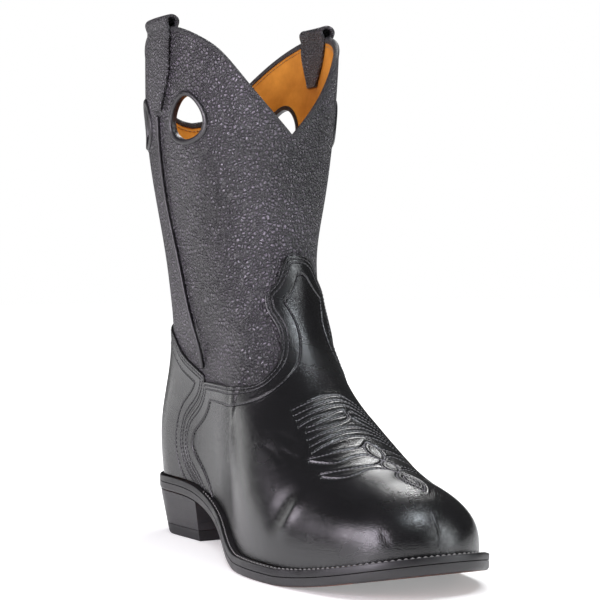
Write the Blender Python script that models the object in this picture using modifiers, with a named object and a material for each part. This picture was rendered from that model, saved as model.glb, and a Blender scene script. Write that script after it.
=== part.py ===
"""Roper boot for the right foot: pebbled shaft with V dips and pull holes, smooth vamp and
counter laid over it, pull straps, welt, leather outsole, stacked heel and rubber top lift.

Frame: +Z up, the toe points along -Y, the wearer's right (the outer, lateral side) is -X.
The origin is on the floor under the middle of the heel. Lengths are in metres.
"""

import math

import bmesh
import bpy
import numpy as np

# Sole: overall sizes
SOLE_LENGTH = 0.300
BALL_WIDTH = 0.1115
HEEL_RISE = 0.028
TOE_SPRING = 0.0145
TREAD_CUT = 0.0004
OUTSOLE_THICK = 0.0050
WELT_THICK = 0.0040
WELT_LEDGE = 0.0055
SOLE_EDGE_BEVEL = 0.0008
INSOLE_ABOVE_WELT = 0.0022

# Heel block
HEEL_SEAT_CENTRE = 0.034
HEEL_BREAST = 0.071
HEEL_EDGE = 0.0006
HEEL_BACK_SLOPE = 0.0075
HEEL_SIDE_TAPER = 0.0040
TOP_LIFT_THICK = 0.0065

# Upper: overall sizes
BOOT_HEIGHT = 0.313
THROAT_HEIGHT = 0.150
SHAFT_WIDTH = 0.114
FRONT_DIP = 0.068
BACK_DIP = 0.051
WALL = 0.0026
OVERLAY = 0.0012
TOE_SWING = 0.003
HEEL_LEDGE = 0.0025
HEEL_BULGE = 0.0030
LATERAL_WAIST = 0.0030
MEDIAL_WAIST = 0.0120

# Trim
HOLE_WIDTH = 0.0265
HOLE_HEIGHT = 0.0265
HOLE_TAPER = 0.25
HOLE_BELOW_PEAK = 0.056
HOLE_FROM_SEAM = 0.0295
BINDING_WIDTH = 0.0040
SEAM_RADIUS = 0.0012
SEAM_END = 0.0025
STRAP_WIDTH = 0.029
STRAP_TIP_WIDTH = 0.006
STRAP_THICK = 0.0020
STRAP_LENGTH = 0.050
STRAP_TAPER_LENGTH = 0.026
STRAP_RISE = 0.0075
STRAP_LOOP_WIDTH = 0.0126

# Form of the upper: shares of the sole's length from the heel, and of the throat's height
SWING_SPAN = (0.55, 1.05)
LEDGE_SPAN = (0.10, 0.45)
HEEL_BULGE_SPAN = (0.05, 0.32)
SHAFT_SPAN = (0.42, 1.05)
RINGS_LEVEL = 1.12
TOE_DEPTH = 0.135
TOE_POWER = 2.8
DOME_POWER = 2.3
DOME_ROUND = 0.48
SHAFT_OVAL = 2.15
BULGE = 0.030
WAIST_MIDDLE = 0.52
WAIST_SPREAD = 0.15

# Fits
GAP = 0.0003
SEAT_GAP = 0.0005
INSOLE_PLAY = 0.0012

# Mesh density
ROWS_FOOT = 14
ROWS_SHAFT = 9
COLUMNS = 40
TOE_CROWD = 1.25
SOLE_STATIONS = 40
HEEL_STATIONS = 18
BINDING_POINTS = 24
SEAM_POINTS = 18
STRAP_LEG_POINTS = 7
STRAP_LOOP_POINTS = 9

# Outline of the outsole: share of SOLE_LENGTH from the back of the heel, then the lateral and
# the medial half width before the ends are rounded, as shares of BALL_WIDTH.
OUTLINE = np.array([
    (0.00, 0.305, 0.297),
    (0.10, 0.305, 0.300),
    (0.22, 0.284, 0.294),
    (0.35, 0.306, 0.268),
    (0.48, 0.418, 0.298),
    (0.60, 0.508, 0.412),
    (0.70, 0.520, 0.474),
    (0.80, 0.478, 0.464),
    (0.90, 0.415, 0.420),
    (1.00, 0.366, 0.375),
])
HEEL_CAP = 0.112
TOE_CAP = 0.150
TOE_ROUNDNESS = 2.35

# Underside of the outsole: share of SOLE_LENGTH, share of HEEL_RISE, share of TOE_SPRING.
UNDERSIDE = np.array([
    (0.00, 1.03, 0.00),
    (0.12, 1.00, 0.00),
    (0.24, 0.90, 0.00),
    (0.35, 0.56, 0.00),
    (0.47, 0.20, 0.00),
    (0.57, 0.02, 0.00),
    (0.62, 0.00, 0.00),
    (0.71, 0.00, 0.00),
    (0.78, 0.00, 0.10),
    (0.88, 0.00, 0.43),
    (1.00, 0.00, 1.00),
])

# Front line of the upper over the foot: share of SOLE_LENGTH, share of THROAT_HEIGHT.
RIDGE = np.array([
    (1.020, 0.310),
    (0.960, 0.337),
    (0.880, 0.363),
    (0.800, 0.402),
    (0.730, 0.463),
    (0.660, 0.558),
    (0.600, 0.662),
    (0.550, 0.765),
    (0.510, 0.875),
    (0.478, 1.000),
])

# Shaft sections: share of the height from the throat to the peaks, then the front and the back
# as shares of SOLE_LENGTH, then the half width and the sideways shift as shares of SHAFT_WIDTH.
SHAFT = np.array([
    (-0.60, 0.520, 0.030, 0.340, 0.000),
    (-0.30, 0.500, 0.040, 0.340, 0.000),
    (0.00, 0.478, 0.046, 0.338, -0.008),
    (0.15, 0.460, 0.034, 0.352, -0.010),
    (0.35, 0.456, 0.008, 0.405, 0.006),
    (0.60, 0.455, -0.018, 0.462, 0.022),
    (0.85, 0.456, -0.030, 0.484, 0.038),
    (1.00, 0.456, -0.034, 0.488, 0.045),
])

# Back line of the upper below the throat: share of THROAT_HEIGHT, share of SOLE_LENGTH.
HEEL_LINE = np.array([
    (0.20, 0.010),
    (0.32, -0.002),
    (0.45, -0.004),
    (0.58, 0.012),
    (0.72, 0.036),
    (0.86, 0.048),
    (1.00, 0.046),
])

# Collar: angle round the shaft from the front (degrees), share of the dip that is open there.
FRONT_COLLAR = np.array([
    (0, 1.000),
    (12, 0.820),
    (24, 0.625),
    (36, 0.410),
    (46, 0.250),
    (55, 0.155),
    (66, 0.070),
    (80, 0.010),
    (90, 0.000),
])
BACK_COLLAR = np.array([(0, 1.00), (14, 0.93), (32, 0.62), (52, 0.26), (70, 0.06), (82, 0.0), (90, 0.0)])

# Top edge of the vamp, from the tongue's tip to the side seams: share of THROAT_HEIGHT, then
# the angle from the front (degrees) on the lateral and on the medial side.
VAMP_EDGE = np.array([
    (1.165, 0.0, 0.0),
    (1.157, -3.8, 15.8),
    (1.125, -7.9, 24.4),
    (1.063, -13.7, 33.3),
    (0.990, -23.8, 45.6),
    (0.936, -22.7, 42.0),
    (0.880, -19.5, 38.0),
    (0.828, -20.2, 38.5),
    (0.770, -24.2, 42.5),
    (0.722, -31.9, 50.0),
    (0.683, -40.9, 58.0),
    (0.667, -50.8, 66.0),
    (0.663, -60.7, 76.0),
])

# Top edge of the counter in the side view, from the side seam to behind the back line:
# share of SOLE_LENGTH, share of THROAT_HEIGHT.
COUNTER_EDGE = np.array([
    (0.288, 0.690),
    (0.242, 0.729),
    (0.199, 0.772),
    (0.163, 0.830),
    (0.115, 0.872),
    (0.040, 0.900),
    (-0.100, 0.910),
])

# Seam between vamp and counter in the side view, from its top down past the welt.
COUNTER_SEAM = np.array([
    (0.288, 0.664),
    (0.270, 0.615),
    (0.231, 0.551),
    (0.195, 0.497),
    (0.179, 0.428),
    (0.178, 0.386),
    (0.190, 0.329),
    (0.215, 0.280),
    (0.262, 0.190),
    (0.300, 0.000),
])

# Seam between the front and the back of the shaft in the side view, from the vamp up:
# share of SOLE_LENGTH, share of BOOT_HEIGHT.
SHAFT_SEAM = np.array([
    (0.290, 0.335),
    (0.292, 0.380),
    (0.281, 0.418),
    (0.261, 0.487),
    (0.243, 0.545),
    (0.227, 0.603),
    (0.216, 0.658),
    (0.212, 0.730),
    (0.212, 0.820),
    (0.212, 1.010),
])


def spline(points, samples):
    """Smooth curve through the points: a cubic with chord-length parameter and natural ends,
    solved for its slopes. Returns samples points."""
    points = np.asarray(points, float)
    t = np.concatenate([[0], np.cumsum(np.sqrt((np.diff(points, axis=0) ** 2).sum(1)))])
    return cubic(t, points, np.linspace(0, t[-1], samples))


def cubic(x, values, at):
    """Natural cubic spline through (x, values), read at the given places."""
    x = np.asarray(x, float)
    values = np.asarray(values, float)
    flat = values.ndim == 1
    values = values[:, None] if flat else values
    count = len(x)
    step = np.diff(x)
    slope = np.diff(values, axis=0) / step[:, None]
    matrix = np.zeros((count, count))
    right = np.zeros_like(values)
    matrix[0, :2] = 2, 1
    right[0] = 3 * slope[0]
    matrix[-1, -2:] = 1, 2
    right[-1] = 3 * slope[-1]
    for i in range(1, count - 1):
        matrix[i, i - 1:i + 2] = step[i], 2 * (step[i - 1] + step[i]), step[i - 1]
        right[i] = 3 * (step[i] * slope[i - 1] + step[i - 1] * slope[i])
    tangent = np.linalg.solve(matrix, right)
    at = np.clip(np.asarray(at, float), x[0], x[-1])
    k = np.clip(np.searchsorted(x, at, side="right") - 1, 0, count - 2)
    h = step[k]
    s = ((at - x[k]) / h)[..., None]
    h = h[..., None]
    out = (
        (1 + 2 * s) * (1 - s) ** 2 * values[k]
        + s * (1 - s) ** 2 * h * tangent[k]
        + s ** 2 * (3 - 2 * s) * values[k + 1]
        + s ** 2 * (s - 1) * h * tangent[k + 1]
    )
    return out[..., 0] if flat else out


def smooth_step(low, high, value):
    """0 below low, 1 above high, with a smooth rise between."""
    t = np.clip((np.asarray(value, float) - low) / (high - low), 0, 1)
    return t * t * (3 - 2 * t)


def at_length(share):
    """Y of a share of the sole's length, counted from the back of the heel."""
    return HEEL_SEAT_CENTRE - np.asarray(share, float) * SOLE_LENGTH


def share_of(y):
    """Share of the sole's length at Y."""
    return (HEEL_SEAT_CENTRE - np.asarray(y, float)) / SOLE_LENGTH


def end_caps(share, length):
    """Rounding of the outline's two ends, 1 in the middle and 0 at each tip."""
    heel_cap = HEEL_CAP * SOLE_LENGTH / length
    toe_cap = TOE_CAP * SOLE_LENGTH / length
    at_heel = np.clip((heel_cap - share) / heel_cap, 0, 1)
    at_toe = np.clip((share - (1 - toe_cap)) / toe_cap, 0, 1)
    return np.sqrt(1 - at_heel ** 2) * (1 - at_toe ** TOE_ROUNDNESS) ** (1 / TOE_ROUNDNESS)


def toe_swing(y):
    """Sideways shift of the centre line towards the big toe."""
    return TOE_SWING * smooth_step(*SWING_SPAN, share_of(y))


def centre_line(y, z):
    """X of the upper's middle: the foot swings towards the toe, the shaft leans inwards."""
    shaft = shaft_share(z)
    share = (z - THROAT_HEIGHT) / (BOOT_HEIGHT - THROAT_HEIGHT)
    lean = cubic(SHAFT[:, 0], SHAFT[:, 4], share) * SHAFT_WIDTH
    return (1 - shaft) * toe_swing(y) + shaft * lean


def shaft_share(z):
    """0 where the upper follows the foot's form, 1 where it follows the shaft's."""
    return smooth_step(*SHAFT_SPAN, z / THROAT_HEIGHT)


def foot_inset(y):
    """Plan distance from the sole's edge to the upper's own face, under the overlays."""
    ledge = HEEL_LEDGE + (WELT_LEDGE - HEEL_LEDGE) * smooth_step(*LEDGE_SPAN, share_of(y))
    return ledge + OVERLAY + GAP


def underside(y):
    """Height of the outsole's underside: heel seat, shank, flat tread and toe spring."""
    share = np.clip(share_of(y), 0, 1)
    parts = np.maximum(cubic(UNDERSIDE[:, 0], UNDERSIDE[:, 1:], share), 0)
    height = parts[..., 0] * HEEL_RISE + parts[..., 1] * TOE_SPRING
    return np.maximum(height - TREAD_CUT, 0)


def welt_top(y):
    return underside(y) + OUTSOLE_THICK + WELT_THICK


def sole_outline(inset, stations):
    """Outline of the sole moved inwards by inset: an array of stations with the lateral and the
    medial point of each, from the heel to the toe, in plan."""
    angle = np.linspace(0.0, math.pi, stations)
    share = (1 - np.cos(angle)) / 2
    halves = cubic(OUTLINE[:, 0], OUTLINE[:, 1:], share) * BALL_WIDTH
    halves = halves * end_caps(share, SOLE_LENGTH)[:, None]
    y = at_length(share)
    centre = toe_swing(y)
    loop = np.vstack([
        np.stack([centre - halves[:, 0], y], 1),
        np.stack([centre + halves[:, 1], y], 1)[-2:0:-1],
    ])
    before = np.roll(loop, 1, axis=0)
    after = np.roll(loop, -1, axis=0)
    tangent = after - before
    normal = np.stack([-tangent[:, 1], tangent[:, 0]], 1)
    normal /= np.linalg.norm(normal, axis=1)[:, None]
    moved = loop + inset * normal
    lateral = moved[:stations]
    medial = np.vstack([moved[:1], moved[stations:][::-1], moved[stations - 1:stations]])
    return np.stack([lateral, medial], 1)


FRONT_LINE = spline(
    np.vstack([
        RIDGE * (SOLE_LENGTH, THROAT_HEIGHT),
        np.stack([
            SHAFT[3:, 1] * SOLE_LENGTH,
            THROAT_HEIGHT + SHAFT[3:, 0] * (BOOT_HEIGHT - THROAT_HEIGHT),
        ], 1),
    ]),
    400,
)
BACK_LINE = spline(
    np.vstack([
        np.stack([HEEL_LINE[:, 1] * SOLE_LENGTH, HEEL_LINE[:, 0] * THROAT_HEIGHT], 1),
        np.stack([
            SHAFT[3:, 2] * SOLE_LENGTH,
            THROAT_HEIGHT + SHAFT[3:, 0] * (BOOT_HEIGHT - THROAT_HEIGHT),
        ], 1),
    ]),
    300,
)



def back_y(z):
    """Y of the back line at a height."""
    return HEEL_SEAT_CENTRE - np.interp(z, BACK_LINE[:, 1], BACK_LINE[:, 0])


def ridge_height(y):
    """Height of the line along the top of the foot, drawn on past the toe."""
    ahead = HEEL_SEAT_CENTRE - np.asarray(y, float)
    lowest = FRONT_LINE[:, 0].argmin()
    foot = FRONT_LINE[:lowest + 1][::-1]
    return np.where(ahead < foot[0, 0], BOOT_HEIGHT, np.interp(ahead, foot[:, 0], foot[:, 1]))


def foot_half(y, z, side):
    """Half width of the foot's form at a point of the side view: the sole's outline, rounded
    into a dome between the welt and the ridge, and towards the toe and the heel's back."""
    column = 1 if side < 0 else 2
    share = np.clip(share_of(y), 0, 1)
    half = cubic(OUTLINE[:, 0], OUTLINE[:, column], share) * BALL_WIDTH - foot_inset(y)
    low = welt_top(y)
    rise = np.clip((z - low) / np.maximum(ridge_height(y) - low, 1e-6), 0, 1)
    toe = toe_feather()
    depth = TOE_DEPTH * SOLE_LENGTH
    at_toe = np.clip((toe + depth - y) / depth, 0, 1)
    heel = HEEL_CAP * SOLE_LENGTH
    at_heel = np.clip((y - (back_y(z) - heel)) / heel, 0, 1)
    dome = np.clip(1 - rise ** DOME_POWER - at_toe ** TOE_POWER, 0, 1) ** DOME_ROUND
    swell = np.sin(math.pi * rise) ** 2
    waist = np.exp(-((share - WAIST_MIDDLE) / WAIST_SPREAD) ** 2)
    heel_part = 1 - smooth_step(*HEEL_BULGE_SPAN, share)
    bulge = BULGE * half + HEEL_BULGE * heel_part
    bulge = bulge + (LATERAL_WAIST if side < 0 else MEDIAL_WAIST) * waist
    return (half * dome + bulge * swell) * np.sqrt(1 - at_heel ** 2)


def shaft_half(y, z):
    """Half width of the shaft's form: an oval between the front and the back line."""
    share = (z - THROAT_HEIGHT) / (BOOT_HEIGHT - THROAT_HEIGHT)
    half = cubic(SHAFT[:, 0], SHAFT[:, 3], share) * SHAFT_WIDTH
    front = HEEL_SEAT_CENTRE - np.interp(z, FRONT_LINE[:, 1], FRONT_LINE[:, 0])
    back = back_y(z)
    across = np.clip(np.abs(2 * (y - front) / np.maximum(back - front, 1e-6) - 1), 0, 1)
    return half * np.sqrt(1 - across ** SHAFT_OVAL)


def half_width(y, z, side):
    """Half width of the upper at a point of the side view, on the side -1 (lateral) or 1."""
    shaft = shaft_share(z)
    return (1 - shaft) * foot_half(y, z, side) + shaft * shaft_half(y, z)


def toe_feather():
    """Y of the front of the upper where it meets the welt."""
    return HEEL_SEAT_CENTRE - SOLE_LENGTH + WELT_LEDGE + OVERLAY + GAP


def toe_front():
    """Front line of the foot with its rounded toe, from the welt up: rows of (y, z)."""
    toe = toe_feather()
    depth = TOE_DEPTH * SOLE_LENGTH
    turn = np.linspace(0, math.pi / 2, 60)
    at_toe = np.cos(turn) ** (2 / TOE_POWER)
    y = toe + depth * (1 - at_toe)
    low = welt_top(y) + SEAT_GAP
    rise = (1 - at_toe ** TOE_POWER) ** (1 / DOME_POWER)
    nose = np.stack([y, low + rise * (ridge_height(y) - low)], 1)
    ahead = HEEL_SEAT_CENTRE - FRONT_LINE[:, 0]
    rest = np.stack([ahead, FRONT_LINE[:, 1]], 1)[ahead > nose[-1, 0]]
    rest = rest[rest[:, 1] > nose[-1, 1] + 0.0005]
    return np.vstack([nose, rest])


NOSE_LINE = toe_front()


def along(line, count_to, z_end, power):
    """Points up a side line at even steps of length, from its start to the height z_end."""
    end = [[np.interp(z_end, line[:, 1], line[:, 0]), z_end]]
    inside = np.vstack([line[line[:, 1] < z_end], end])
    steps = np.sqrt((np.diff(inside, axis=0) ** 2).sum(1))
    length = np.concatenate([[0], np.cumsum(steps)])
    at = np.linspace(0, 1, count_to) ** power * length[-1]
    return np.stack([np.interp(at, length, inside[:, k]) for k in (0, 1)], 1)


def collar_height(angle):
    """Height of the collar's edge at an angle round the shaft, 0 at the front, pi at the back."""
    degrees = np.degrees(angle)
    front = cubic(FRONT_COLLAR[:, 0], FRONT_COLLAR[:, 1], np.clip(degrees, 0, 90)) * FRONT_DIP
    back = cubic(BACK_COLLAR[:, 0], BACK_COLLAR[:, 1], np.clip(180 - degrees, 0, 90)) * BACK_DIP
    return BOOT_HEIGHT - np.maximum(np.where(degrees < 90, front, back), 0)


def surface(offset=0.0, rows_foot=ROWS_FOOT, rows_shaft=ROWS_SHAFT, columns=COLUMNS):
    """The upper's outer face as a grid of rings, from the welt to the collar.

    Each ring of the foot is the form cut by a plane from a point of the front line to one of the
    back line; each ring of the shaft is a share of the way from the throat to the collar's edge.
    offset moves the face outwards along its normals. Columns run from the front, round the
    medial side to the back, and on round the lateral side."""
    top = RINGS_LEVEL * THROAT_HEIGHT
    front = along(NOSE_LINE, rows_foot, top, 1.0)
    back_points = np.stack([back_y(BACK_LINE[:, 1]), BACK_LINE[:, 1]], 1)
    heel_low = welt_top(HEEL_SEAT_CENTRE) + SEAT_GAP
    back = along(back_points[back_points[:, 1] >= heel_low], rows_foot, top, 1.15)
    turn = 2 * math.pi * np.arange(columns) / columns
    share = ((1 - np.cos(turn)) / 2) ** TOE_CROWD
    angle = np.arccos(1 - 2 * share)
    side = np.where(turn <= math.pi, 1, -1)
    rings = []
    for k in range(rows_foot):
        y = front[k, 0] + (back[k, 0] - front[k, 0]) * share
        z = front[k, 1] + (back[k, 1] - front[k, 1]) * share
        seat = welt_top(y) + SEAT_GAP
        chord = seat[0] + (welt_top(back[k, 0]) + SEAT_GAP - seat[0]) * share
        hug = (1 - k / (rows_foot - 1)) ** 3
        z = z + (seat - chord) * hug
        rings.append(ring(y, z, side))
    for k in range(1, rows_shaft + 1):
        z = top + (collar_height(angle) - top) * k / rows_shaft
        front_y = HEEL_SEAT_CENTRE - np.interp(z, FRONT_LINE[:, 1], FRONT_LINE[:, 0])
        y = front_y + (back_y(z) - front_y) * share
        rings.append(ring(y, z, side))
    grid = np.array(rings)
    return grid + offset * normals(grid)


def ring(y, z, side):
    """One ring of points on the form, over the given points of the side view."""
    half = np.where(side < 0, half_width(y, z, -1), half_width(y, z, 1))
    return np.stack([centre_line(y, z) + side * half, y, z], 1)


def normals(grid):
    """Outward unit normals of a grid of rings."""
    across = np.roll(grid, -1, axis=1) - np.roll(grid, 1, axis=1)
    up = np.gradient(grid, axis=0)
    normal = np.cross(across, up)
    return normal / np.linalg.norm(normal, axis=2)[:, :, None]


def front_y(z):
    """Y of the front line at a height above the foot's ridge."""
    return HEEL_SEAT_CENTRE - np.interp(z, FRONT_LINE[:, 1], FRONT_LINE[:, 0])


def on_side(y, z, side, offset):
    """Points of the upper's side over a side-view place, moved outwards by offset."""
    y = np.asarray(y, float)
    z = np.asarray(z, float)
    step = 0.0005
    half = half_width(y, z, side)
    lean_y = (half_width(y + step, z, side) - half_width(y - step, z, side)) / (2 * step)
    lean_z = (half_width(y, z + step, side) - half_width(y, z - step, side)) / (2 * step)
    drift = side * (centre_line(y, z + step) - centre_line(y, z - step)) / (2 * step)
    normal = np.stack([np.ones_like(half) * side, -lean_y, -lean_z - drift], -1)
    normal /= np.linalg.norm(normal, axis=-1)[..., None]
    return np.stack([centre_line(y, z) + side * half, y, z], -1) + offset * normal


def material(name, colour, roughness):
    """Principled material of one sub-part."""
    made = bpy.data.materials.new(name)
    made.use_nodes = True
    shader = made.node_tree.nodes["Principled BSDF"]
    shader.inputs["Base Color"].default_value = (*colour, 1)
    shader.inputs["Roughness"].default_value = roughness
    return made


def grid_object(name, grid, wrap_rows=False, wrap_columns=False):
    """Object with two triangles for each cell of a grid of points."""
    rows, columns = grid.shape[:2]
    mesh = bmesh.new()
    points = [[mesh.verts.new(point) for point in row] for row in grid.tolist()]
    for i in range(rows if wrap_rows else rows - 1):
        for j in range(columns if wrap_columns else columns - 1):
            after = (i + 1) % rows
            beside = (j + 1) % columns
            mesh.faces.new((points[i][j], points[i][beside], points[after][beside]))
            mesh.faces.new((points[i][j], points[after][beside], points[after][j]))
    return finish(name, mesh)


def finish(name, mesh):
    """Object from a bmesh, merged and with its normals outwards."""
    bmesh.ops.remove_doubles(mesh, verts=mesh.verts, dist=1e-6)
    bmesh.ops.recalc_face_normals(mesh, faces=mesh.faces)
    data = bpy.data.meshes.new(name)
    mesh.to_mesh(data)
    mesh.free()
    made = bpy.data.objects.new(name, data)
    bpy.context.scene.collection.objects.link(made)
    return made


def ladder(name, low, high):
    """Solid between two ladders of rungs, each rung a lateral and a medial point."""
    ring = np.stack([low[:, 0], low[:, 1], high[:, 1], high[:, 0]], 1)
    mesh = bmesh.new()
    points = [[mesh.verts.new(point) for point in rung] for rung in ring.tolist()]
    for here, there in zip(points, points[1:]):
        for k in range(4):
            mesh.faces.new((here[k], here[(k + 1) % 4], there[(k + 1) % 4], there[k]))
    for end in (points[0], points[-1]):
        if (end[0].co - end[1].co).length > 1e-6:
            mesh.faces.new(end)
    bmesh.ops.remove_doubles(mesh, verts=mesh.verts, dist=1e-6)
    bmesh.ops.dissolve_degenerate(mesh, edges=mesh.edges, dist=1e-7)
    return finish(name, mesh)


def heights(plan, z):
    """Plan points with a height for each."""
    return np.concatenate([plan, z[..., None]], -1)


def slab(name, inset, lift, thick):
    """Layer of the sole: the outline moved in by inset, lifted above the underside."""
    rungs = sole_outline(inset, SOLE_STATIONS)
    low = underside(rungs[:, :, 1]) + lift
    return ladder(name, heights(rungs, low), heights(rungs, low + thick))


def soften(made, width, angle):
    """Bevel on an object's sharp edges."""
    bevel = made.modifiers.new("Softened edges", "BEVEL")
    bevel.width = width
    bevel.segments = 1
    bevel.limit_method = "ANGLE"
    bevel.angle_limit = math.radians(angle)


def outsole():
    """Leather outsole with its shank, flat tread and toe spring."""
    made = slab("outsole", 0.0, 0.0, OUTSOLE_THICK)
    soften(made, SOLE_EDGE_BEVEL, 60)
    made.data.materials.append(material("outsole_leather", (0.115, 0.030, 0.018), 0.45))


def loop_of(rungs):
    """Closed loop from rungs that meet at both tips."""
    return np.vstack([rungs[:, 0], rungs[-2:0:-1, 1]])


WELT_REACH = WELT_LEDGE + OVERLAY + GAP + WALL + GAP


def welt():
    """Welt that runs all round between the outsole and the upper's edge."""
    outer = loop_of(sole_outline(0.0, SOLE_STATIONS))
    inner = loop_of(sole_outline(WELT_REACH, SOLE_STATIONS))
    low = OUTSOLE_THICK + GAP
    ring = []
    for plan, lift in ((outer, low), (outer, low + WELT_THICK), (inner, low + WELT_THICK), (inner, low)):
        ring.append(heights(plan, underside(plan[:, 1]) + lift))
    made = grid_object("welt", np.stack(ring, 1), wrap_rows=True, wrap_columns=True)
    made.data.materials.append(material("welt_leather", (0.012, 0.011, 0.012), 0.35))


def insole():
    """Insole inside the welt, resting on the outsole."""
    thick = WELT_THICK + INSOLE_ABOVE_WELT
    made = slab("insole", WELT_REACH + INSOLE_PLAY, OUTSOLE_THICK + GAP, thick)
    made.data.materials.append(material("insole_leather", (0.55, 0.33, 0.13), 0.6))


def heel_rungs(z):
    """Rungs across the heel block in plan at a height, from the back to the breast."""
    level = np.clip(1 - z / HEEL_RISE, 0, 1)
    edge = sole_outline(HEEL_EDGE, 200)
    back = edge[0, 0, 1]
    breast = at_length(HEEL_BREAST / SOLE_LENGTH)
    y = back + (breast - back) * np.linspace(0, 1, HEEL_STATIONS) ** 2
    plan = [np.interp(-y, -edge[:, k, 1], edge[:, k, 0]) for k in (0, 1)]
    across = 1 - HEEL_SIDE_TAPER * level / (BALL_WIDTH * OUTLINE[1, 1])
    along_heel = 1 - HEEL_BACK_SLOPE * level / (back - breast)
    y = breast + (y - breast) * along_heel
    return np.stack([np.stack([x * across, y], -1) for x in plan], 1)


def heel():
    """Stacked leather heel block with a rubber top lift under it."""
    seat = heel_rungs(HEEL_RISE)
    joint = heel_rungs(TOP_LIFT_THICK)
    floor = heel_rungs(0)
    flat = np.zeros(joint.shape[:2])
    top = heights(seat, underside(seat[:, :, 1]) - GAP)
    stack = ladder("heel_stack", heights(joint, flat + TOP_LIFT_THICK + GAP), top)
    stack.data.materials.append(material("heel_leather", (0.014, 0.013, 0.014), 0.4))
    lift = ladder("heel_top_lift", heights(floor, flat), heights(joint, flat + TOP_LIFT_THICK))
    lift.data.materials.append(material("top_lift_rubber", (0.016, 0.016, 0.017), 0.7))


def solidify(made, thickness, offset):
    """Wall on an open surface: offset -1 grows it inwards, 0 both ways."""
    wall = made.modifiers.new("Wall", "SOLIDIFY")
    wall.thickness = thickness
    wall.offset = offset
    wall.use_even_offset = True


def cut(made, cutter, operation="DIFFERENCE"):
    """Boolean with a cutter object."""
    boolean = made.modifiers.new("Cut " + cutter.name, "BOOLEAN")
    boolean.operation = operation
    boolean.solver = "EXACT"
    boolean.object = cutter


def prism(name, outline, x_low, x_high):
    """Cutter: a side-view outline in (y, z) drawn out along X."""
    mesh = bmesh.new()
    face = mesh.faces.new([mesh.verts.new((x_low, y, z)) for y, z in outline])
    drawn = bmesh.ops.extrude_face_region(mesh, geom=[face])
    moved = [part for part in drawn["geom"] if isinstance(part, bmesh.types.BMVert)]
    bmesh.ops.translate(mesh, verts=moved, vec=(x_high - x_low, 0, 0))
    made = finish(name, mesh)
    bpy.context.scene.collection.objects.unlink(made)
    cutters().objects.link(made)
    made.hide_render = True
    made.display_type = "WIRE"
    return made


def cutters():
    """Collection that holds the cutters."""
    found = bpy.data.collections.get("Cutters")
    if found is None:
        found = bpy.data.collections.new("Cutters")
        bpy.context.scene.collection.children.link(found)
    return found


def hole_places():
    """Name, side and centre (y, z) of the four pull holes."""
    z = BOOT_HEIGHT - HOLE_BELOW_PEAK
    seam_y = seam_at(z)
    for side, where in ((-1, "lateral"), (1, "medial")):
        for step, end in ((-1, "front"), (1, "back")):
            yield end + "_" + where, side, seam_y + step * HOLE_FROM_SEAM, z


def seam_at(z):
    """Y of the shaft's side seam at a height."""
    return HEEL_SEAT_CENTRE - SOLE_LENGTH * np.interp(z / BOOT_HEIGHT, SHAFT_SEAM[:, 1], SHAFT_SEAM[:, 0])


def egg(centre_y, centre_z, grow, count):
    """Egg outline of a pull hole in the side view, narrower at its top."""
    turn = 2 * math.pi * np.arange(count) / count
    y = centre_y + (HOLE_WIDTH / 2 + grow) * np.cos(turn) * (1 - HOLE_TAPER * np.sin(turn))
    return np.stack([y, centre_z + (HOLE_HEIGHT / 2 + grow) * np.sin(turn)], 1)


def upper():
    """Hollow upper: one wall from the welt to the collar, with the four pull holes."""
    made = grid_object("upper", surface(), wrap_columns=True)
    solidify(made, WALL, -1)
    for name, side, y, z in hole_places():
        ends = sorted((side * SHAFT_WIDTH / 8, side * SHAFT_WIDTH))
        cut(made, prism("hole_cutter_" + name, egg(y, z, 0, BINDING_POINTS).tolist(), *ends))
    made.data.materials.append(material("shaft_leather", (0.020, 0.019, 0.022), 0.5))


def beyond():
    """Side-view box, a little larger than the boot: back, front, bottom, top."""
    room = WELT_LEDGE * 6
    return HEEL_SEAT_CENTRE + room, at_length(1.0) - room, -room, BOOT_HEIGHT + room


def seam_line(shift):
    """Seam between vamp and counter in (y, z), moved along Y by shift."""
    line = spline(COUNTER_SEAM * (SOLE_LENGTH, THROAT_HEIGHT), 16)
    return np.stack([HEEL_SEAT_CENTRE - line[:, 0] + shift, line[:, 1]], 1)


def vamp_edge(side):
    """Top edge of the vamp in (y, z) on one side, from the tongue's tip to the seam."""
    column = 1 if side < 0 else 2
    line = spline(np.stack([VAMP_EDGE[:, column], VAMP_EDGE[:, 0] * 100], 1), 36)
    z = line[:, 1] / 100 * THROAT_HEIGHT
    share = (1 - np.cos(np.radians(line[:, 0]))) / 2
    y = front_y(z) + (back_y(z) - front_y(z)) * share
    return np.stack([y, z], 1)


def overlay(name):
    """Form just outside the upper: a thin closed wall that the overlays are cut from."""
    made = grid_object(name, surface(GAP), wrap_columns=True)
    solidify(made, OVERLAY, 1)
    return made


def vamp():
    """Vamp with its winged tongue, laid over the front of the upper."""
    made = overlay("vamp")
    back, front, bottom, top = beyond()
    seam = seam_line(-GAP / 2)
    for side, name in ((-1, "lateral"), (1, "medial")):
        edge = vamp_edge(side)
        outline = [(front, edge[0, 1]), *edge.tolist(), *seam.tolist()]
        outline += [(seam[-1, 0], bottom), (back, bottom), (back, top), (front, top)]
        middle = float(centre_line(edge[0, 0], edge[0, 1]))
        ends = sorted((middle - side * GAP, side * SHAFT_WIDTH))
        cut(made, prism("vamp_cutter_" + name, outline, *ends))
    made.data.materials.append(material("vamp_leather", (0.010, 0.010, 0.011), 0.28))


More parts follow.
